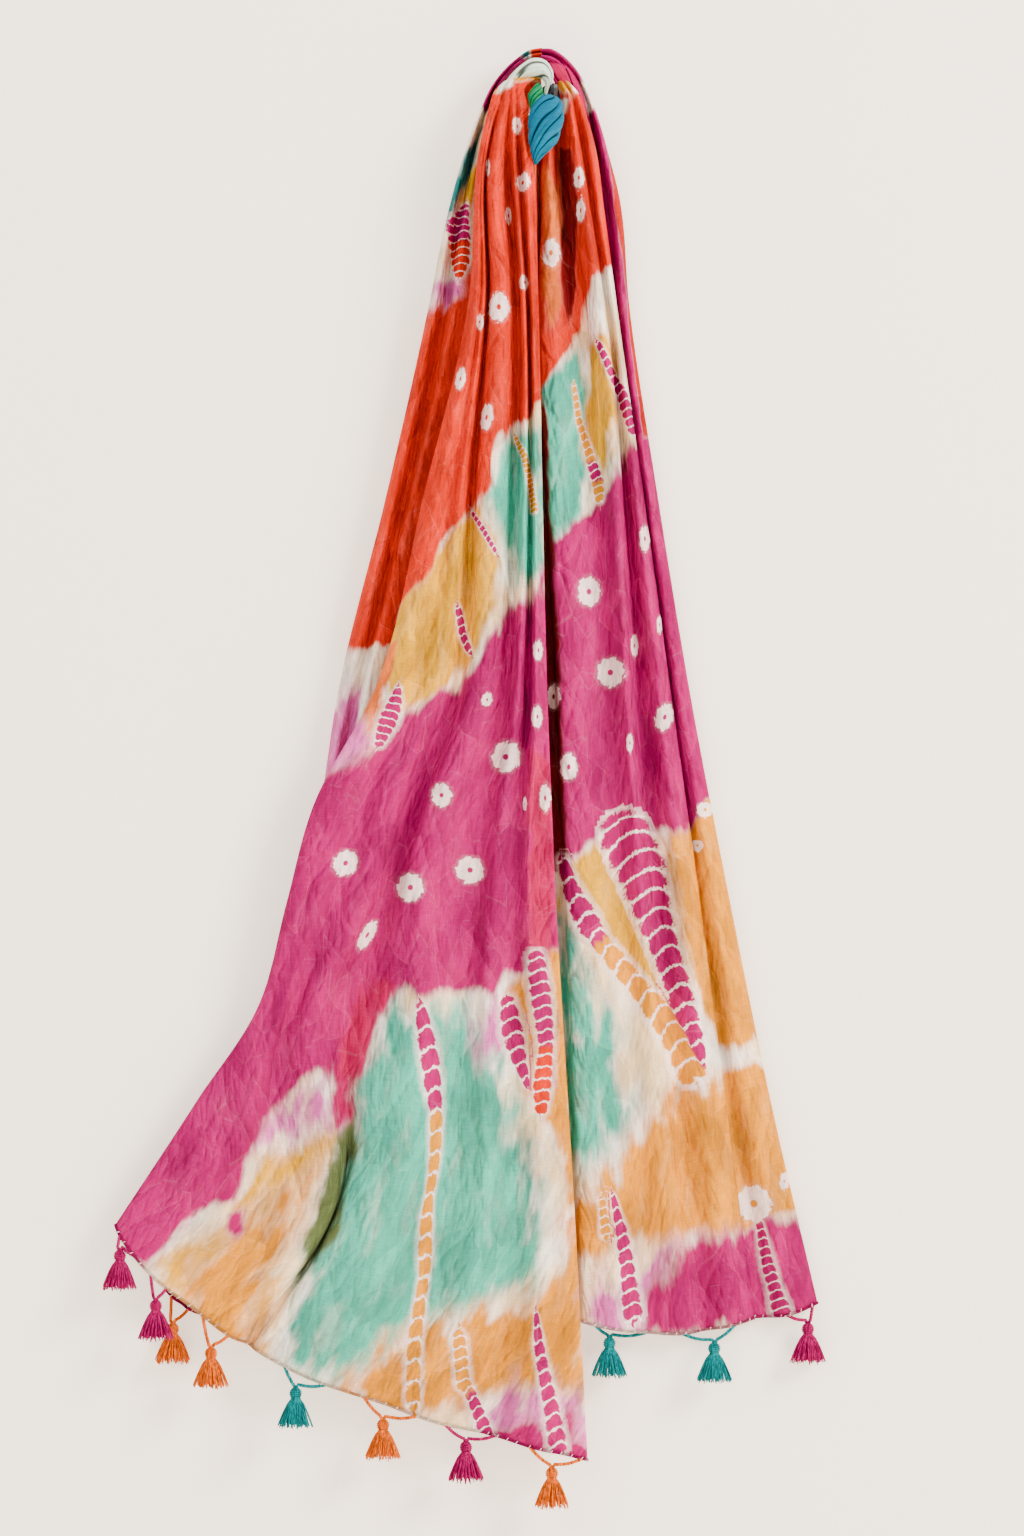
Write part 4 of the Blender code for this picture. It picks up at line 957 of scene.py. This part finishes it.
def crinkle_group():
    """Leaf-shaped facets drawn out along the folds: height, a random tone with painted shade and light across
    each facet, and painted highlights along facet edges.
    """
    group, (cloth,), outs = new_group("Crinkle", dict(Cloth="Vector"),
                                      dict(Height="Float", Tint="Float", CreaseHighlight="Float"))
    wander = result("ShaderNodeTexNoise", {"Vector": cloth, "Scale": 26.0, "Detail": 1.5}, "Color")
    wander = vector_math("MULTIPLY", vector_math("SUBTRACT", wander, (0.5, 0.5, 0.5)), (0.010, 0.022, 0.0))
    cloth = vector_math("ADD", cloth, wander)
    height = noise_at(stretch(cloth, 95, 26), 2.5)
    tone_and_facet_shade = noise_at(stretch(cloth, 36, 11), 3.0) * 0.5
    crease_highlights = None
    for slant, across, along, depth in ((0.42, 74, 21, 0.5), (-0.36, 105, 27, 0.4), (0.15, 190, 50, 0.25)):
        turned = result("ShaderNodeVectorRotate", {"Vector": cloth, "Angle": slant}, rotation_type="Z_AXIS")
        place = {"Vector": stretch(turned, across, along), "Scale": 1.0}
        cells = add_node("ShaderNodeTexVoronoi", place, feature="F1", voronoi_dimensions="2D").outputs
        edge = result("ShaderNodeTexVoronoi", place, "Distance", feature="DISTANCE_TO_EDGE",
                      voronoi_dimensions="2D")
        local = parts(vector_math("SUBTRACT", place["Vector"], Wire(cells["Position"])))[0]
        random_part = result("ShaderNodeSeparateColor", {0: Wire(cells["Color"])})
        # Each facet is darker on one side and lighter on the other: painted shade and light standing for its
        # tilt, over a random tone.
        facet_shade = (random_part - 0.5) * ramp(local, -0.6, 0.6, 0.25, 1.0)
        tone_and_facet_shade = facet_shade * depth + tone_and_facet_shade
        height = ramp(edge, 0.0, 0.35) * depth + height
        # Pale lines along some facet edges: painted highlights where the creases catch the light.
        rim = ramp(edge, 0.004, 0.035, 1.0, 0.0) * ramp(random_part, 0.45, 0.8)
        crease_highlights = compute("MAXIMUM", crease_highlights, rim) if crease_highlights else rim
    feed(outs["Height"], height)
    feed(outs["Tint"], tone_and_facet_shade)
    feed(outs["CreaseHighlight"], crease_highlights)
    return group


def dye_group():
    """Lay one dye over the cloth: a soft washed-out fringe, fingers along the threads, a full core."""
    group, (under, dye, resist, field, fingers, mottle, wash, fringe, pale), outs = new_group(
        "Dye", dict(Under="Color", Dye="Color", Resist="Color", Field="Float", Fingers="Float",
                    Mottle="Float", Wash="Float", Fringe="Float", Pale="Float"), dict(Colour="Color"))
    reached = field + fingers
    colour = blend(ramp(reached, -1.2, 0.4) * fringe, under, blend(pale, dye, resist))
    kept = (ramp(mottle, 0.28, 0.5, 0.6, 1.0) - 1.0) * wash + 1.0
    feed(outs["Colour"], blend(ramp(reached, -0.35, 0.75) * kept, colour, dye))
    return group


def tied_dot_group():
    """A dot kept white by a tie: a scalloped rim and a small dyed hole."""
    group, (under, resist, place, ragged), outs = new_group(
        "Tied Dot", dict(Under="Color", Resist="Color", Place="Vector", Ragged="Float"),
        dict(Colour="Color"))
    x, y, near = parts(place)
    here = ramp(near, 0.55, 0.85)
    reach = compute("SQRT", x * x + y * y)
    hole = ramp(reach, 0.17, 0.25)
    turn = compute("ARCTAN2", y, x) + ragged * 1.2
    rim = compute("COSINE", turn * 9.0) * 0.055 + compute("COSINE", turn * 5.0) * 0.04
    reach = reach - rim + ragged * 0.5
    body = ramp(reach, 0.95, 1.03, 1.0, 0.0) * hole
    halo = ramp(reach, 1.0, 1.5, 0.08, 0.0) * hole
    colour = blend(halo * here, under, resist)
    feed(outs["Colour"], blend(body * here * 0.9, colour, resist))
    return group


def ladder_group():
    """A row of dyed blocks parted by wavy undyed lines, in a pale halo."""
    group, (under, resist, block, place, ragged), outs = new_group(
        "Ladder", dict(Under="Color", Resist="Color", Block="Color", Place="Vector", Ragged="Float"),
        dict(Colour="Color"))
    x, y, near = parts(place)
    here = ramp(near, 0.55, 0.85)
    side = compute("ABSOLUTE", ragged * 0.55 + x)
    along = y + compute("SINE", x * 2.6) * 0.09 + ragged * 0.35
    off_middle = compute("ABSOLUTE", compute("FRACT", along) - 0.5)
    narrow = ramp(off_middle, 0.1, 0.5) * -0.22 + 1.08
    body = ramp(side - narrow, -0.12, 0.06, 1.0, 0.0)
    halo = ramp(side, 0.9, 2.1, 0.8, 0.0)
    line = ramp(off_middle, 0.405, 0.45) * ramp(side, 0.95, 1.35, 1.0, 0.0)
    colour = blend(halo * here, under, blend(0.35, resist, under))
    colour = blend(body * here, colour, block)
    feed(outs["Colour"], blend(line * here * 0.9, colour, resist))
    return group


def new_material(name, roughness, specular=0.06):
    """A material and the inputs of its shader."""
    material = bpy.data.materials.new(name)
    material.use_nodes = True
    shader = material.node_tree.nodes["Principled BSDF"].inputs
    feed(shader["Roughness"], roughness)
    feed(shader["Specular IOR Level"], specular)
    return material, shader


def finish_cloth(shader, colour, cloth, crinkle_depth=1.0):
    """Weave, facets with painted shade across them and painted highlights along their edges, over a dyed
    colour.
    """
    weave = use_group("Crepe Weave", crepe_weave_group, Cloth=cloth,
                      Pitch=bpy.context.scene.stole_sizes.weave)
    crinkle = use_group("Crinkle", crinkle_group, Cloth=cloth)
    # Painted highlights along the crease lines, then a random tone with painted shade across the facets.
    lit = blend(crinkle["CreaseHighlight"] * (0.03 * crinkle_depth), colour, (1.0, 0.8, 0.75, 1.0))
    tone_and_facet_shade = weave["Tint"] * ramp(crinkle["Tint"], -0.05, 0.5, 0.76, 1.12)
    feed(shader["Base Color"], scaled(lit, tone_and_facet_shade))
    folds = bump(crinkle["Height"], 0.8, 0.0024 * crinkle_depth)
    feed(shader["Normal"], bump(weave["Height"], 0.4, 0.00035, Normal=folds))
    feed(shader["Roughness"], ramp(weave["Height"], 0.6, 1.5, 0.70, 0.86))


def dyed_cloth():
    """The tie-dyed crepe, whose patches come from the fields stored on each sheet."""
    colours = bpy.context.scene.stole_colours
    resist = opaque(colours.resist)
    material, shader = new_material("dyed_crepe", 0.78)
    tree = material.node_tree
    cloth = cloth_place(tree)
    lobes = noise_at(stretch(cloth, 75, 30))
    threads = noise_at(stretch(cloth, 420, 70), 3.0, 0.6)
    fingers = (lobes - 0.5) * 3.6 + (threads - 0.5)
    mottle = noise_at(stretch(cloth, 70, 22), 4.0, 0.58)
    stain = noise_at(stretch(cloth, 22, 12), 3.0, 0.6)
    colour = blend(ramp(stain, 0.38, 0.62), opaque(colours.white), opaque(colours.cream))
    # The dark olive and dark wine laid in this loop are painted shade.
    for dye, (wash, fringe, pale) in DYES.items():
        colour = use_group("Dye", dye_group, Under=colour, Dye=opaque(getattr(colours, dye)),
                           Resist=resist, Field=attribute(tree, "dye_" + dye), Fingers=fingers,
                           Mottle=mottle, Wash=wash, Fringe=fringe, Pale=pale)["Colour"]
    ragged = noise_at(stretch(cloth, 380, 380)) - 0.5
    colour = use_group("Ladder", ladder_group, Under=colour, Resist=resist, Ragged=ragged,
                       Block=attribute(tree, "ladder_dye", "Color"),
                       Place=attribute(tree, "ladder", "Vector"))["Colour"]
    colour = use_group("Tied Dot", tied_dot_group, Under=colour, Resist=resist, Ragged=ragged,
                       Place=attribute(tree, "tied_dot", "Vector"))["Colour"]
    tone = ramp(noise_at(stretch(cloth, 34, 13), 5.0, 0.62), 0.36, 0.6, 0.74, 1.08)
    finish_cloth(shader, scaled(colour, tone), cloth)
    return material


def twist_cloth(twist):
    """Plain-dyed crepe pulled tight, streaked along its pleats, with painted shade darkening the grooves
    between them.
    """
    colours = bpy.context.scene.stole_colours
    main, streak, low = (opaque(getattr(colours, name)) for name in twist.colours)
    material, shader = new_material(twist.name + "_crepe", 0.7)
    cloth = cloth_place(material.node_tree)
    streaks = noise_at(stretch(cloth, 700, 40), 4.0, 0.65)
    colour = blend(ramp(streaks, 0.42, 0.68), main, streak)
    colour = blend(ramp(streaks, 0.5, 0.3, 0.0, 0.5), colour, low)
    # Painted shade: the grooves between the pleats are darkened.
    shade = ramp(attribute(material.node_tree, "groove"), -1.0, -0.1, 0.08, 1.0)
    finish_cloth(shader, scaled(colour, shade), cloth, 0.3)
    return material


def thread_material(name):
    """Silky twisted thread, lighter where it catches the light, in uneven shades."""
    colour = getattr(bpy.context.scene.stole_colours, name)
    light = tuple(min(1.0, part * 1.3 + 0.004) for part in colour)
    dark = tuple(part * 0.5 for part in colour)
    material, shader = new_material(name, 0.5, specular=0.05)
    place = object_place(material.node_tree)
    shades = noise_at(stretch(place, 900, 900, 160), 3.0)
    feed(shader["Base Color"], blend(ramp(shades, 0.35, 0.65), opaque(dark), opaque(light)))
    feed(shader["Normal"], bump(noise_at(stretch(place, 2600, 2600, 700)), 0.5, 0.0004))
    feed(shader["Roughness"], ramp(shades, 0.3, 0.7, 0.42, 0.6))
    return material


def stitch_material():
    """Pale thread stained here and there by the dyes."""
    material, shader = new_material("hem_thread", 0.6)
    place = object_place(material.node_tree)
    stained = ramp(noise_at(place, 1.0, scale=60.0), 0.42, 0.58)
    feed(shader["Base Color"], blend(stained, (0.86, 0.42, 0.36, 1.0), (0.86, 0.76, 0.66, 1.0)))
    feed(shader["Normal"], bump(noise_at(place, 1.0, scale=2600.0), 0.4, 0.0002))
    return material


def shared_material(name, make, *details):
    return bpy.data.materials.get(name) or make(*details)


def thread_of(colour):
    return shared_material("thread_" + colour, thread_material, "thread_" + colour)


# ---------------- mesh helpers

def select(*objects):
    """Select these objects alone, the first of them active."""
    bpy.ops.object.select_all(action="DESELECT")
    for obj in objects:
        obj.select_set(True)
    if objects:
        bpy.context.view_layer.objects.active = objects[0]


def settle(obj, name, slot, material, *nodes):
    """Name a finished piece, give it its material, hang it on the root body and hide the solids it stands for.
    """
    obj.name = name
    obj.data.name = name
    obj.data.materials.clear()
    obj.data.materials.append(material)
    obj.data.shade_smooth()
    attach(obj, "root")
    if nodes:
        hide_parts(*nodes)
    return obj


def cloth_map(mesh):
    """A mesh's UV map, named for the cloth."""
    layer = mesh.uv_layers.active or mesh.uv_layers.new()
    layer.name = "cloth"
    return layer.data


def lay_cloth(mesh, places):
    """Store each vertex's place on the cloth in metres."""
    corners = np.empty(len(mesh.loops), int)
    mesh.loops.foreach_get("vertex_index", corners)
    cloth_map(mesh).foreach_set("uv", places[corners].ravel())


def grid_object(points):
    """A grid primitive laid over rows of points in mm, with its place on the cloth as a UV map."""
    rows, columns, _ = points.shape
    select()
    bpy.ops.mesh.primitive_grid_add(x_subdivisions=columns - 1, y_subdivisions=rows - 1)
    obj = bpy.context.object
    obj.data.vertices.foreach_set("co", (points * MM).ravel())
    u, v = cloth_coordinates(points)
    lay_cloth(obj.data, np.stack([u.ravel(), v.ravel()], axis=1) * MM)
    obj.data.update()
    return obj


def tube_object(paths, radius, resolution=1, cyclic=False):
    """Round tubes through paths of points in metres, made one mesh."""
    data = bpy.data.curves.new("tube", "CURVE")
    data.dimensions = "3D"
    data.bevel_depth = radius
    data.bevel_resolution = resolution
    data.use_fill_caps = not cyclic
    for path in paths:
        spline = data.splines.new("POLY")
        spline.points.add(len(path) - 1)
        spline.use_cyclic_u = cyclic
        for spline_point, point in zip(spline.points, path):
            spline_point.co = (*point, 1.0)
    obj = bpy.data.objects.new("tube", data)
    bpy.context.scene.collection.objects.link(obj)
    select(obj)
    bpy.ops.object.convert(target="MESH")
    return bpy.context.object


# ---------------- the pieces

def build_sheet(band):
    """One stretch of cloth with its creases, dyes and rolled hem."""
    across = np.linspace(0, len(band.folds) - 1, band.columns)
    along = np.linspace(0, 1, band.rows) ** band.crowding
    points = crease(band, band_points(band, across, along), across, along)
    obj = grid_object(points)
    paint_dyes(obj.data, band.name)
    wall = obj.modifiers.new("wall", "SOLIDIFY")
    wall.thickness = bpy.context.scene.stole_sizes.sheet_thickness
    wall.offset = 0.0
    select(obj)
    bpy.ops.object.modifier_apply(modifier=wall.name)
    settle(obj, "dyed_" + band.name, band.name, shared_material("dyed_crepe", dyed_cloth), band.name)
    return obj, build_hem(band, points[-1])


def build_hem(band, edge):
    """The rolled and whip-stitched lower edge of a band."""
    path = [Vector(point) * MM for point in edge]
    radius = bpy.context.scene.stole_sizes.hem_radius
    roll = tube_object([path], radius, 2)
    paint_dyes(roll.data, band.name)
    cloth_map(roll.data)
    settle(roll, "hem_" + band.name, band.name, shared_material("dyed_crepe", dyed_cloth))
    stitches = []
    walked = 0.0
    reach = radius * STITCH_REACH
    for start, end in zip(path, path[1:]):
        walked += (end - start).length
        if walked < HEM_STITCH_STEP * MM:
            continue
        walked = 0.0
        along = (end - start).normalized()
        out = Vector((-along.z, 0, along.x))
        ring = []
        for turn in range(-3, 4):
            angle = turn / 4 * math.pi
            ring.append(start + along * turn * radius * 0.3 + out * reach * math.sin(angle)
                        + Vector((0, -1, 0)) * reach * math.cos(angle))
        stitches.append(ring)
    whip = tube_object(stitches, radius * STITCH_THICKNESS, 0)
    settle(whip, "stitches_" + band.name, band.name, shared_material("hem_thread", stitch_material))
    return [roll, whip]


def build_twist(twist):
    """A tight bunch of the knot: a round primitive drawn over its sections, grooved by its pleats."""
    select()
    bpy.ops.mesh.primitive_uv_sphere_add(segments=TWIST_SEGMENTS, ring_count=TWIST_RINGS, radius=1.0)
    obj = bpy.context.object
    last = len(twist.sections) - 1
    mesh = obj.data
    pleat_shade = np.zeros(len(mesh.vertices))
    places = np.zeros((len(mesh.vertices), 2))
    for index, vertex in enumerate(mesh.vertices):
        polar = math.acos(max(-1.0, min(1.0, vertex.co.z))) / math.pi
        turn = math.atan2(vertex.co.y, vertex.co.x)
        section = smooth(range(last + 1), twist.sections, [polar * last])[0]
        side_a = np.array([section[0], -section[4], section[1]])
        side_b = np.array([section[2], -section[4], section[3]])
        phase = twist.pleats * turn - twist.turns * twist.pleats * 2 * math.pi * polar
        uneven = 1.1 * math.sin(turn * 2 + polar * 3) + 0.8 * math.sin(turn * 3 - polar * 7)
        wave = math.cos(phase + uneven)
        pleat = 1 - 2 * (0.5 - 0.5 * wave) ** 4
        fine = 0.25 * math.cos(phase * 2.6 + uneven * 3)
        at_pole = polar < 1e-4 or polar > 1 - 1e-4
        reach = 0.0 if at_pole else 1 + twist.groove * (0.75 * pleat + fine * 0.5)
        offset = (side_b - side_a) / 2 * math.cos(turn) * reach
        offset[1] -= section[5] * math.sin(turn) * reach
        vertex.co = Vector(((side_a + side_b) / 2 + offset) * MM)
        pleat_shade[index] = pleat
        places[index] = (phase / twist.pleats * TWIST_GIRTH, polar * TWIST_LENGTH)
    # The pleat's depth at each vertex, read by the material to paint shade into the grooves.
    store(mesh, "groove", "FLOAT", pleat_shade)
    lay_cloth(mesh, places)
    shape = bmesh.new()
    shape.from_mesh(mesh)
    bmesh.ops.recalc_face_normals(shape, faces=shape.faces)
    shape.to_mesh(mesh)
    shape.free()
    solids = [twist.name] if twist.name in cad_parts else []
    slot = twist.name if solids else "back_tail"
    return settle(obj, "pleated_" + twist.name, slot, twist_cloth(twist), *solids)


def below_hem(band, x, distance):
    """The point at `distance` in mm square below the frontmost part of a band's hem at x in mm."""
    across = np.linspace(0, len(band.folds) - 1, HEM_SAMPLES * len(band.folds))
    hem = band_points(band, across, np.array([1.0]))[0]
    offsets = np.abs(hem[:, 0] - x)
    near = np.flatnonzero(offsets <= max(1.5, offsets.min()))
    index = near[np.argmin(hem[near, 1])]
    before = hem[max(index - HEM_SAMPLES // 2, 0)]
    after = hem[min(index + HEM_SAMPLES // 2, len(hem) - 1)]
    along = Vector((after[0] - before[0], 0, after[2] - before[2])).normalized()
    down = Vector((along.z, 0, -along.x))
    if down.z > 0:
        down.negate()
    return (Vector(hem[index]) + down * distance) * MM


def loop_path(band, first_x, second_x, head_x, head_z):
    """The middle line of a tassel's loop, from hem to hem under the tassel's head."""
    first = below_hem(band, first_x, LOOP_SEAT)
    second = below_hem(band, second_x, LOOP_SEAT)
    bottom = Vector((head_x * MM, (first.y + second.y) / 2, head_z * MM))
    turn_centre = bottom + Vector((0, 0, LOOP_BOTTOM_RADIUS * MM))
    legs = []
    for end, side in ((first, -1), (second, 1)):
        foot = turn_centre + Vector((side * LOOP_BOTTOM_RADIUS * MM, 0, 0))
        leg = []
        for step in range(9):
            nearness = step / 8
            point = foot.lerp(end, nearness)
            point.z -= LOOP_SLACK * (end - foot).length * math.sin(math.pi * nearness)
            leg.append(point)
        legs.append(leg)
    bend = []
    for step in range(1, 6):
        angle = math.pi + step / 6 * math.pi
        bend.append(turn_centre + Vector((math.cos(angle), 0, math.sin(angle))) * LOOP_BOTTOM_RADIUS * MM)
    return legs[0][::-1] + bend + legs[1], bottom


def even_steps(path, step):
    """Points at an even step along a path."""
    lengths = [0.0]
    for start, end in zip(path, path[1:]):
        lengths.append(lengths[-1] + (end - start).length)
    count = max(8, int(lengths[-1] / step))
    at = np.linspace(0, lengths[-1], count)
    columns = [np.interp(at, lengths, [point[axis] for point in path]) for axis in range(3)]
    return [Vector(values) for values in zip(*columns)], at


def build_loop(number, path, colour):
    """Two strands twisted round each other along the loop."""
    points, at = even_steps(path, CORD_STEP * MM)
    strands = []
    for strand in range(2):
        line = []
        for index, (point, walked) in enumerate(zip(points, at)):
            ahead = points[min(index + 1, len(points) - 1)] - points[max(index - 1, 0)]
            along = ahead.normalized()
            side = along.cross(Vector((0, 1, 0))).normalized()
            up = side.cross(along)
            angle = 2 * math.pi * walked / (CORD_PITCH * MM) + strand * math.pi
            line.append(point + (side * math.cos(angle) + up * math.sin(angle)) * CORD_STRAND_OFFSET * MM)
        strands.append(line)
    obj = tube_object(strands, CORD_STRAND_RADIUS * MM, 1)
    settle(obj, "cord_loop_%02d" % number, "tassel_" + colour, thread_of(colour),
           "tassel_loop_%02d" % number)


def round_axis(angle, radius, height):
    """The point at an angle round the z axis."""
    return Vector((radius * math.cos(angle), radius * math.sin(angle), height))


def tassel_parts():
    """One tassel with its top at the origin: a wrapped ball, a bound neck and a bell of strands."""
    rng = random.Random(11)
    radius = HEAD_RADIUS * MM
    select()
    bpy.ops.mesh.primitive_uv_sphere_add(segments=24, ring_count=14, radius=radius * 0.92,
                                         location=(0, 0, -radius))
    ball = bpy.context.object
    bpy.ops.object.transform_apply(location=True)
    wraps = []
    for share in np.linspace(0, 1, HEAD_WRAPS * 18 + 1):
        tilt = math.pi * (0.08 + 0.84 * share)
        angle = 2 * math.pi * HEAD_WRAPS * share
        wraps.append(round_axis(angle, math.sin(tilt) * radius, (math.cos(tilt) - 1) * radius))
    wrap = tube_object([wraps], WRAP_RADIUS * MM, 1)
    neck = []
    for turn in range(3):
        height = -radius * (NECK_TOP + NECK_PITCH * turn)
        neck.append([round_axis(angle, NECK_RADIUS * MM, height)
                     for angle in np.linspace(0, 2 * math.pi, 18, endpoint=False)])
    binding = tube_object(neck, BINDING_RADIUS * MM, 1, cyclic=True)
    strands = []
    for count, spread, length in STRAND_RINGS:
        for number in range(count):
            angle = 2 * math.pi * (number + rng.uniform(-0.3, 0.3)) / count
            top = SKIRT_TOP_RADIUS * spread
            reach = SKIRT_RADIUS * spread * rng.uniform(0.88, 1.04)
            drop = SKIRT_LENGTH * length * rng.uniform(0.93, 1.05)
            sway = rng.uniform(-0.16, 0.16)
            line = []
            for share in (0.0, 0.2, 0.4, 0.6, 0.8, 1.0):
                out = (top + (reach - top) * share ** SKIRT_FLARE) * MM
                height = -radius * SKIRT_TOP - drop * MM * share
                line.append(round_axis(angle + sway * share ** 2, out, height))
            strands.append(line)
    skirt = tube_object(strands, bpy.context.scene.stole_sizes.strand_radius, 0)
    select(ball, wrap, binding, skirt)
    bpy.ops.object.join()
    return bpy.context.object


# ---------------- operators

class STOLE_OT_stage(bpy.types.Operator):
    """Set the wall, the floor, the soft lights and the camera"""
    bl_idname = "stole.stage"
    bl_label = "Stage"

    def execute(self, context):
        colours = context.scene.stole_colours
        distance = context.scene.stole_sizes.camera_distance
        material, shader = new_material("studio_wall", 0.9)
        tree = material.node_tree
        plaster = noise_at(object_place(tree), 4.0, scale=9.0)
        tone = blend(plaster, opaque(colours.wall), opaque(tuple(part * 0.97 for part in colours.wall)))
        feed(shader["Base Color"], tone)
        feed(shader["Emission Color"], tone)
        feed(shader["Emission Strength"], WALL_GLOW)
        back = result("ShaderNodeNewGeometry", {}, "Backfacing", tree=tree)
        clear = result("ShaderNodeBsdfTransparent", {}, tree=tree)
        front = Wire(tree.nodes["Principled BSDF"].outputs[0])
        mixed = result("ShaderNodeMixShader", {0: back, 1: front, 2: clear})
        feed(tree.nodes["Material Output"].inputs["Surface"], mixed)
        for name, location, turn in (("studio_wall", (0, 0.0005, 4.6), (math.pi / 2, 0, 0)),
                                     ("studio_floor", (0, -6.0, -1.4), (0, 0, 0))):
            select()
            bpy.ops.mesh.primitive_plane_add(size=STAGE_SIZE, location=location, rotation=turn)
            plane = context.object
            plane.name = name
            plane.data.materials.append(material)
            bpy.ops.object.transform_apply(location=True, rotation=True)
        for name, location, size, power, warmth in LIGHTS:
            light = bpy.data.lights.new(name, "AREA")
            light.energy = power
            light.size = size
            light.color = warmth
            lamp = bpy.data.objects.new(name, light)
            lamp.location = location
            aim = Vector(LIGHT_AIM) - Vector(location)
            lamp.rotation_euler = aim.to_track_quat("-Z", "Y").to_euler()
            context.scene.collection.objects.link(lamp)
        world = bpy.data.worlds.new("studio")
        world.use_nodes = True
        feed(world.node_tree.nodes["Background"].inputs[0], (1.0, 0.985, 0.965, 1.0))
        feed(world.node_tree.nodes["Background"].inputs[1], WORLD_STRENGTH)
        context.scene.world = world
        camera = bpy.data.objects.new("camera", bpy.data.cameras.new("camera"))
        camera.data.sensor_width = SENSOR_WIDTH
        camera.data.lens = SENSOR_WIDTH * distance / (CHART_HEIGHT * CHART_UNIT * MM)
        camera.location = ((CHART_WIDTH / 2 - CHART_X) * CHART_UNIT * MM, -CAMERA_PLANE - distance,
                           (CHART_Y - CHART_HEIGHT / 2) * CHART_UNIT * MM)
        camera.rotation_euler = (math.pi / 2, 0, 0)
        context.scene.collection.objects.link(camera)
        context.scene.camera = camera
        return {"FINISHED"}


class STOLE_OT_hook(bpy.types.Operator):
    """Give the wall hook its painted steel finish"""
    bl_idname = "stole.hook"
    bl_label = "Wall hook"

    def execute(self, context):
        material, shader = new_material("painted_steel", 0.4, specular=0.5)
        feed(shader["Metallic"], 0.6)
        colour = context.scene.stole_colours.metal
        place = object_place(material.node_tree)
        grain = noise_at(place, 3.0, scale=500.0)
        # Lighter grey patches: partly wear on the paint, partly a painted highlight.
        wear_and_highlight = ramp(noise_at(place, 1.0, scale=60.0), 0.5, 0.8, 0.0, 0.7)
        tone = blend(grain, opaque(colour), opaque(tuple(part * 0.7 for part in colour)))
        feed(shader["Base Color"], blend(wear_and_highlight, tone, (0.30, 0.30, 0.31, 1.0)))
        feed(shader["Roughness"], ramp(grain, 0.3, 0.7, 0.34, 0.5))
        feed(shader["Normal"], bump(grain, 0.2, 0.0001))
        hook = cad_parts["wall_hook"]
        hook.data.materials.clear()
        hook.data.materials.append(material)
        return {"FINISHED"}


class STOLE_OT_front_tail(bpy.types.Operator):
    """Build the longer tail that hangs in front"""
    bl_idname = "stole.front_tail"
    bl_label = "Front tail"

    def execute(self, context):
        sheet, hem = build_sheet(FRONT_TAIL)
        return {"FINISHED"}


class STOLE_OT_back_tail(bpy.types.Operator):
    """Build the shorter tail on the right"""
    bl_idname = "stole.back_tail"
    bl_label = "Back tail"

    def execute(self, context):
        sheet, hem = build_sheet(BACK_TAIL)
        return {"FINISHED"}


class STOLE_OT_left_column(bpy.types.Operator):
    """Build the outer loop's left leg and the selvedge column below it"""
    bl_idname = "stole.left_column"
    bl_label = "Left column"

    def execute(self, context):
        sheet, hem = build_sheet(LEFT_COLUMN)
        return {"FINISHED"}


class STOLE_OT_right_column(bpy.types.Operator):
    """Build the outer loop's right leg and the column below it"""
    bl_idname = "stole.right_column"
    bl_label = "Right column"

    def execute(self, context):
        sheet, hem = build_sheet(RIGHT_COLUMN)
        return {"FINISHED"}


class STOLE_OT_knot(bpy.types.Operator):
    """Build the tight twists of the knot"""
    bl_idname = "stole.knot"
    bl_label = "Knot"

    def execute(self, context):
        for twist in TWISTS:
            build_twist(twist)
        return {"FINISHED"}


class STOLE_OT_tassels(bpy.types.Operator):
    """Build the cord loops and the tassels"""
    bl_idname = "stole.tassels"
    bl_label = "Tassels"

    def execute(self, context):
        pattern = tassel_parts()
        for number, (band, first_x, second_x, head_x, head_z, colour) in enumerate(TASSELS, 1):
            path, bottom = loop_path(band, first_x, second_x, head_x, head_z)
            build_loop(number, path, colour)
            tassel = pattern.copy()
            tassel.data = pattern.data.copy()
            context.scene.collection.objects.link(tassel)
            select(tassel)
            tassel.rotation_euler = (0, 0, number * 1.3)
            tassel.location = bottom - Vector((0, 0, TASSEL_GAP * MM))
            bpy.ops.object.transform_apply(location=True, rotation=True)
            settle(tassel, "thread_tassel_%02d" % number, "tassel_" + colour, thread_of(colour),
                   "tassel_%02d" % number)
        bpy.data.objects.remove(pattern)
        return {"FINISHED"}


class STOLE_PT_panel(bpy.types.Panel):
    """The stole's settings and pieces"""
    bl_label = "Dupatta Stole"
    bl_space_type = "VIEW_3D"
    bl_region_type = "UI"
    bl_category = "Stole"

    def draw(self, context):
        for group in (context.scene.stole_sizes, context.scene.stole_colours):
            for name in group.__annotations__:
                self.layout.prop(group, name)
        for operator in OPERATORS:
            self.layout.operator(operator.bl_idname)


OPERATORS = (STOLE_OT_stage, STOLE_OT_hook, STOLE_OT_left_column, STOLE_OT_right_column,
             STOLE_OT_back_tail, STOLE_OT_front_tail, STOLE_OT_knot, STOLE_OT_tassels)
CLASSES = (StoleColours, StoleSizes, *OPERATORS, STOLE_PT_panel)


def register():
    for cls in CLASSES:
        bpy.utils.register_class(cls)
    bpy.types.Scene.stole_colours = bpy.props.PointerProperty(type=StoleColours)
    bpy.types.Scene.stole_sizes = bpy.props.PointerProperty(type=StoleSizes)


def unregister():
    del bpy.types.Scene.stole_colours
    del bpy.types.Scene.stole_sizes
    for cls in reversed(CLASSES):
        bpy.utils.unregister_class(cls)


def main():
    register()
    for operator in OPERATORS:
        group, name = operator.bl_idname.split(".")
        getattr(getattr(bpy.ops, group), name)()
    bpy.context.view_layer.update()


if __name__ == "__main__":
    main()
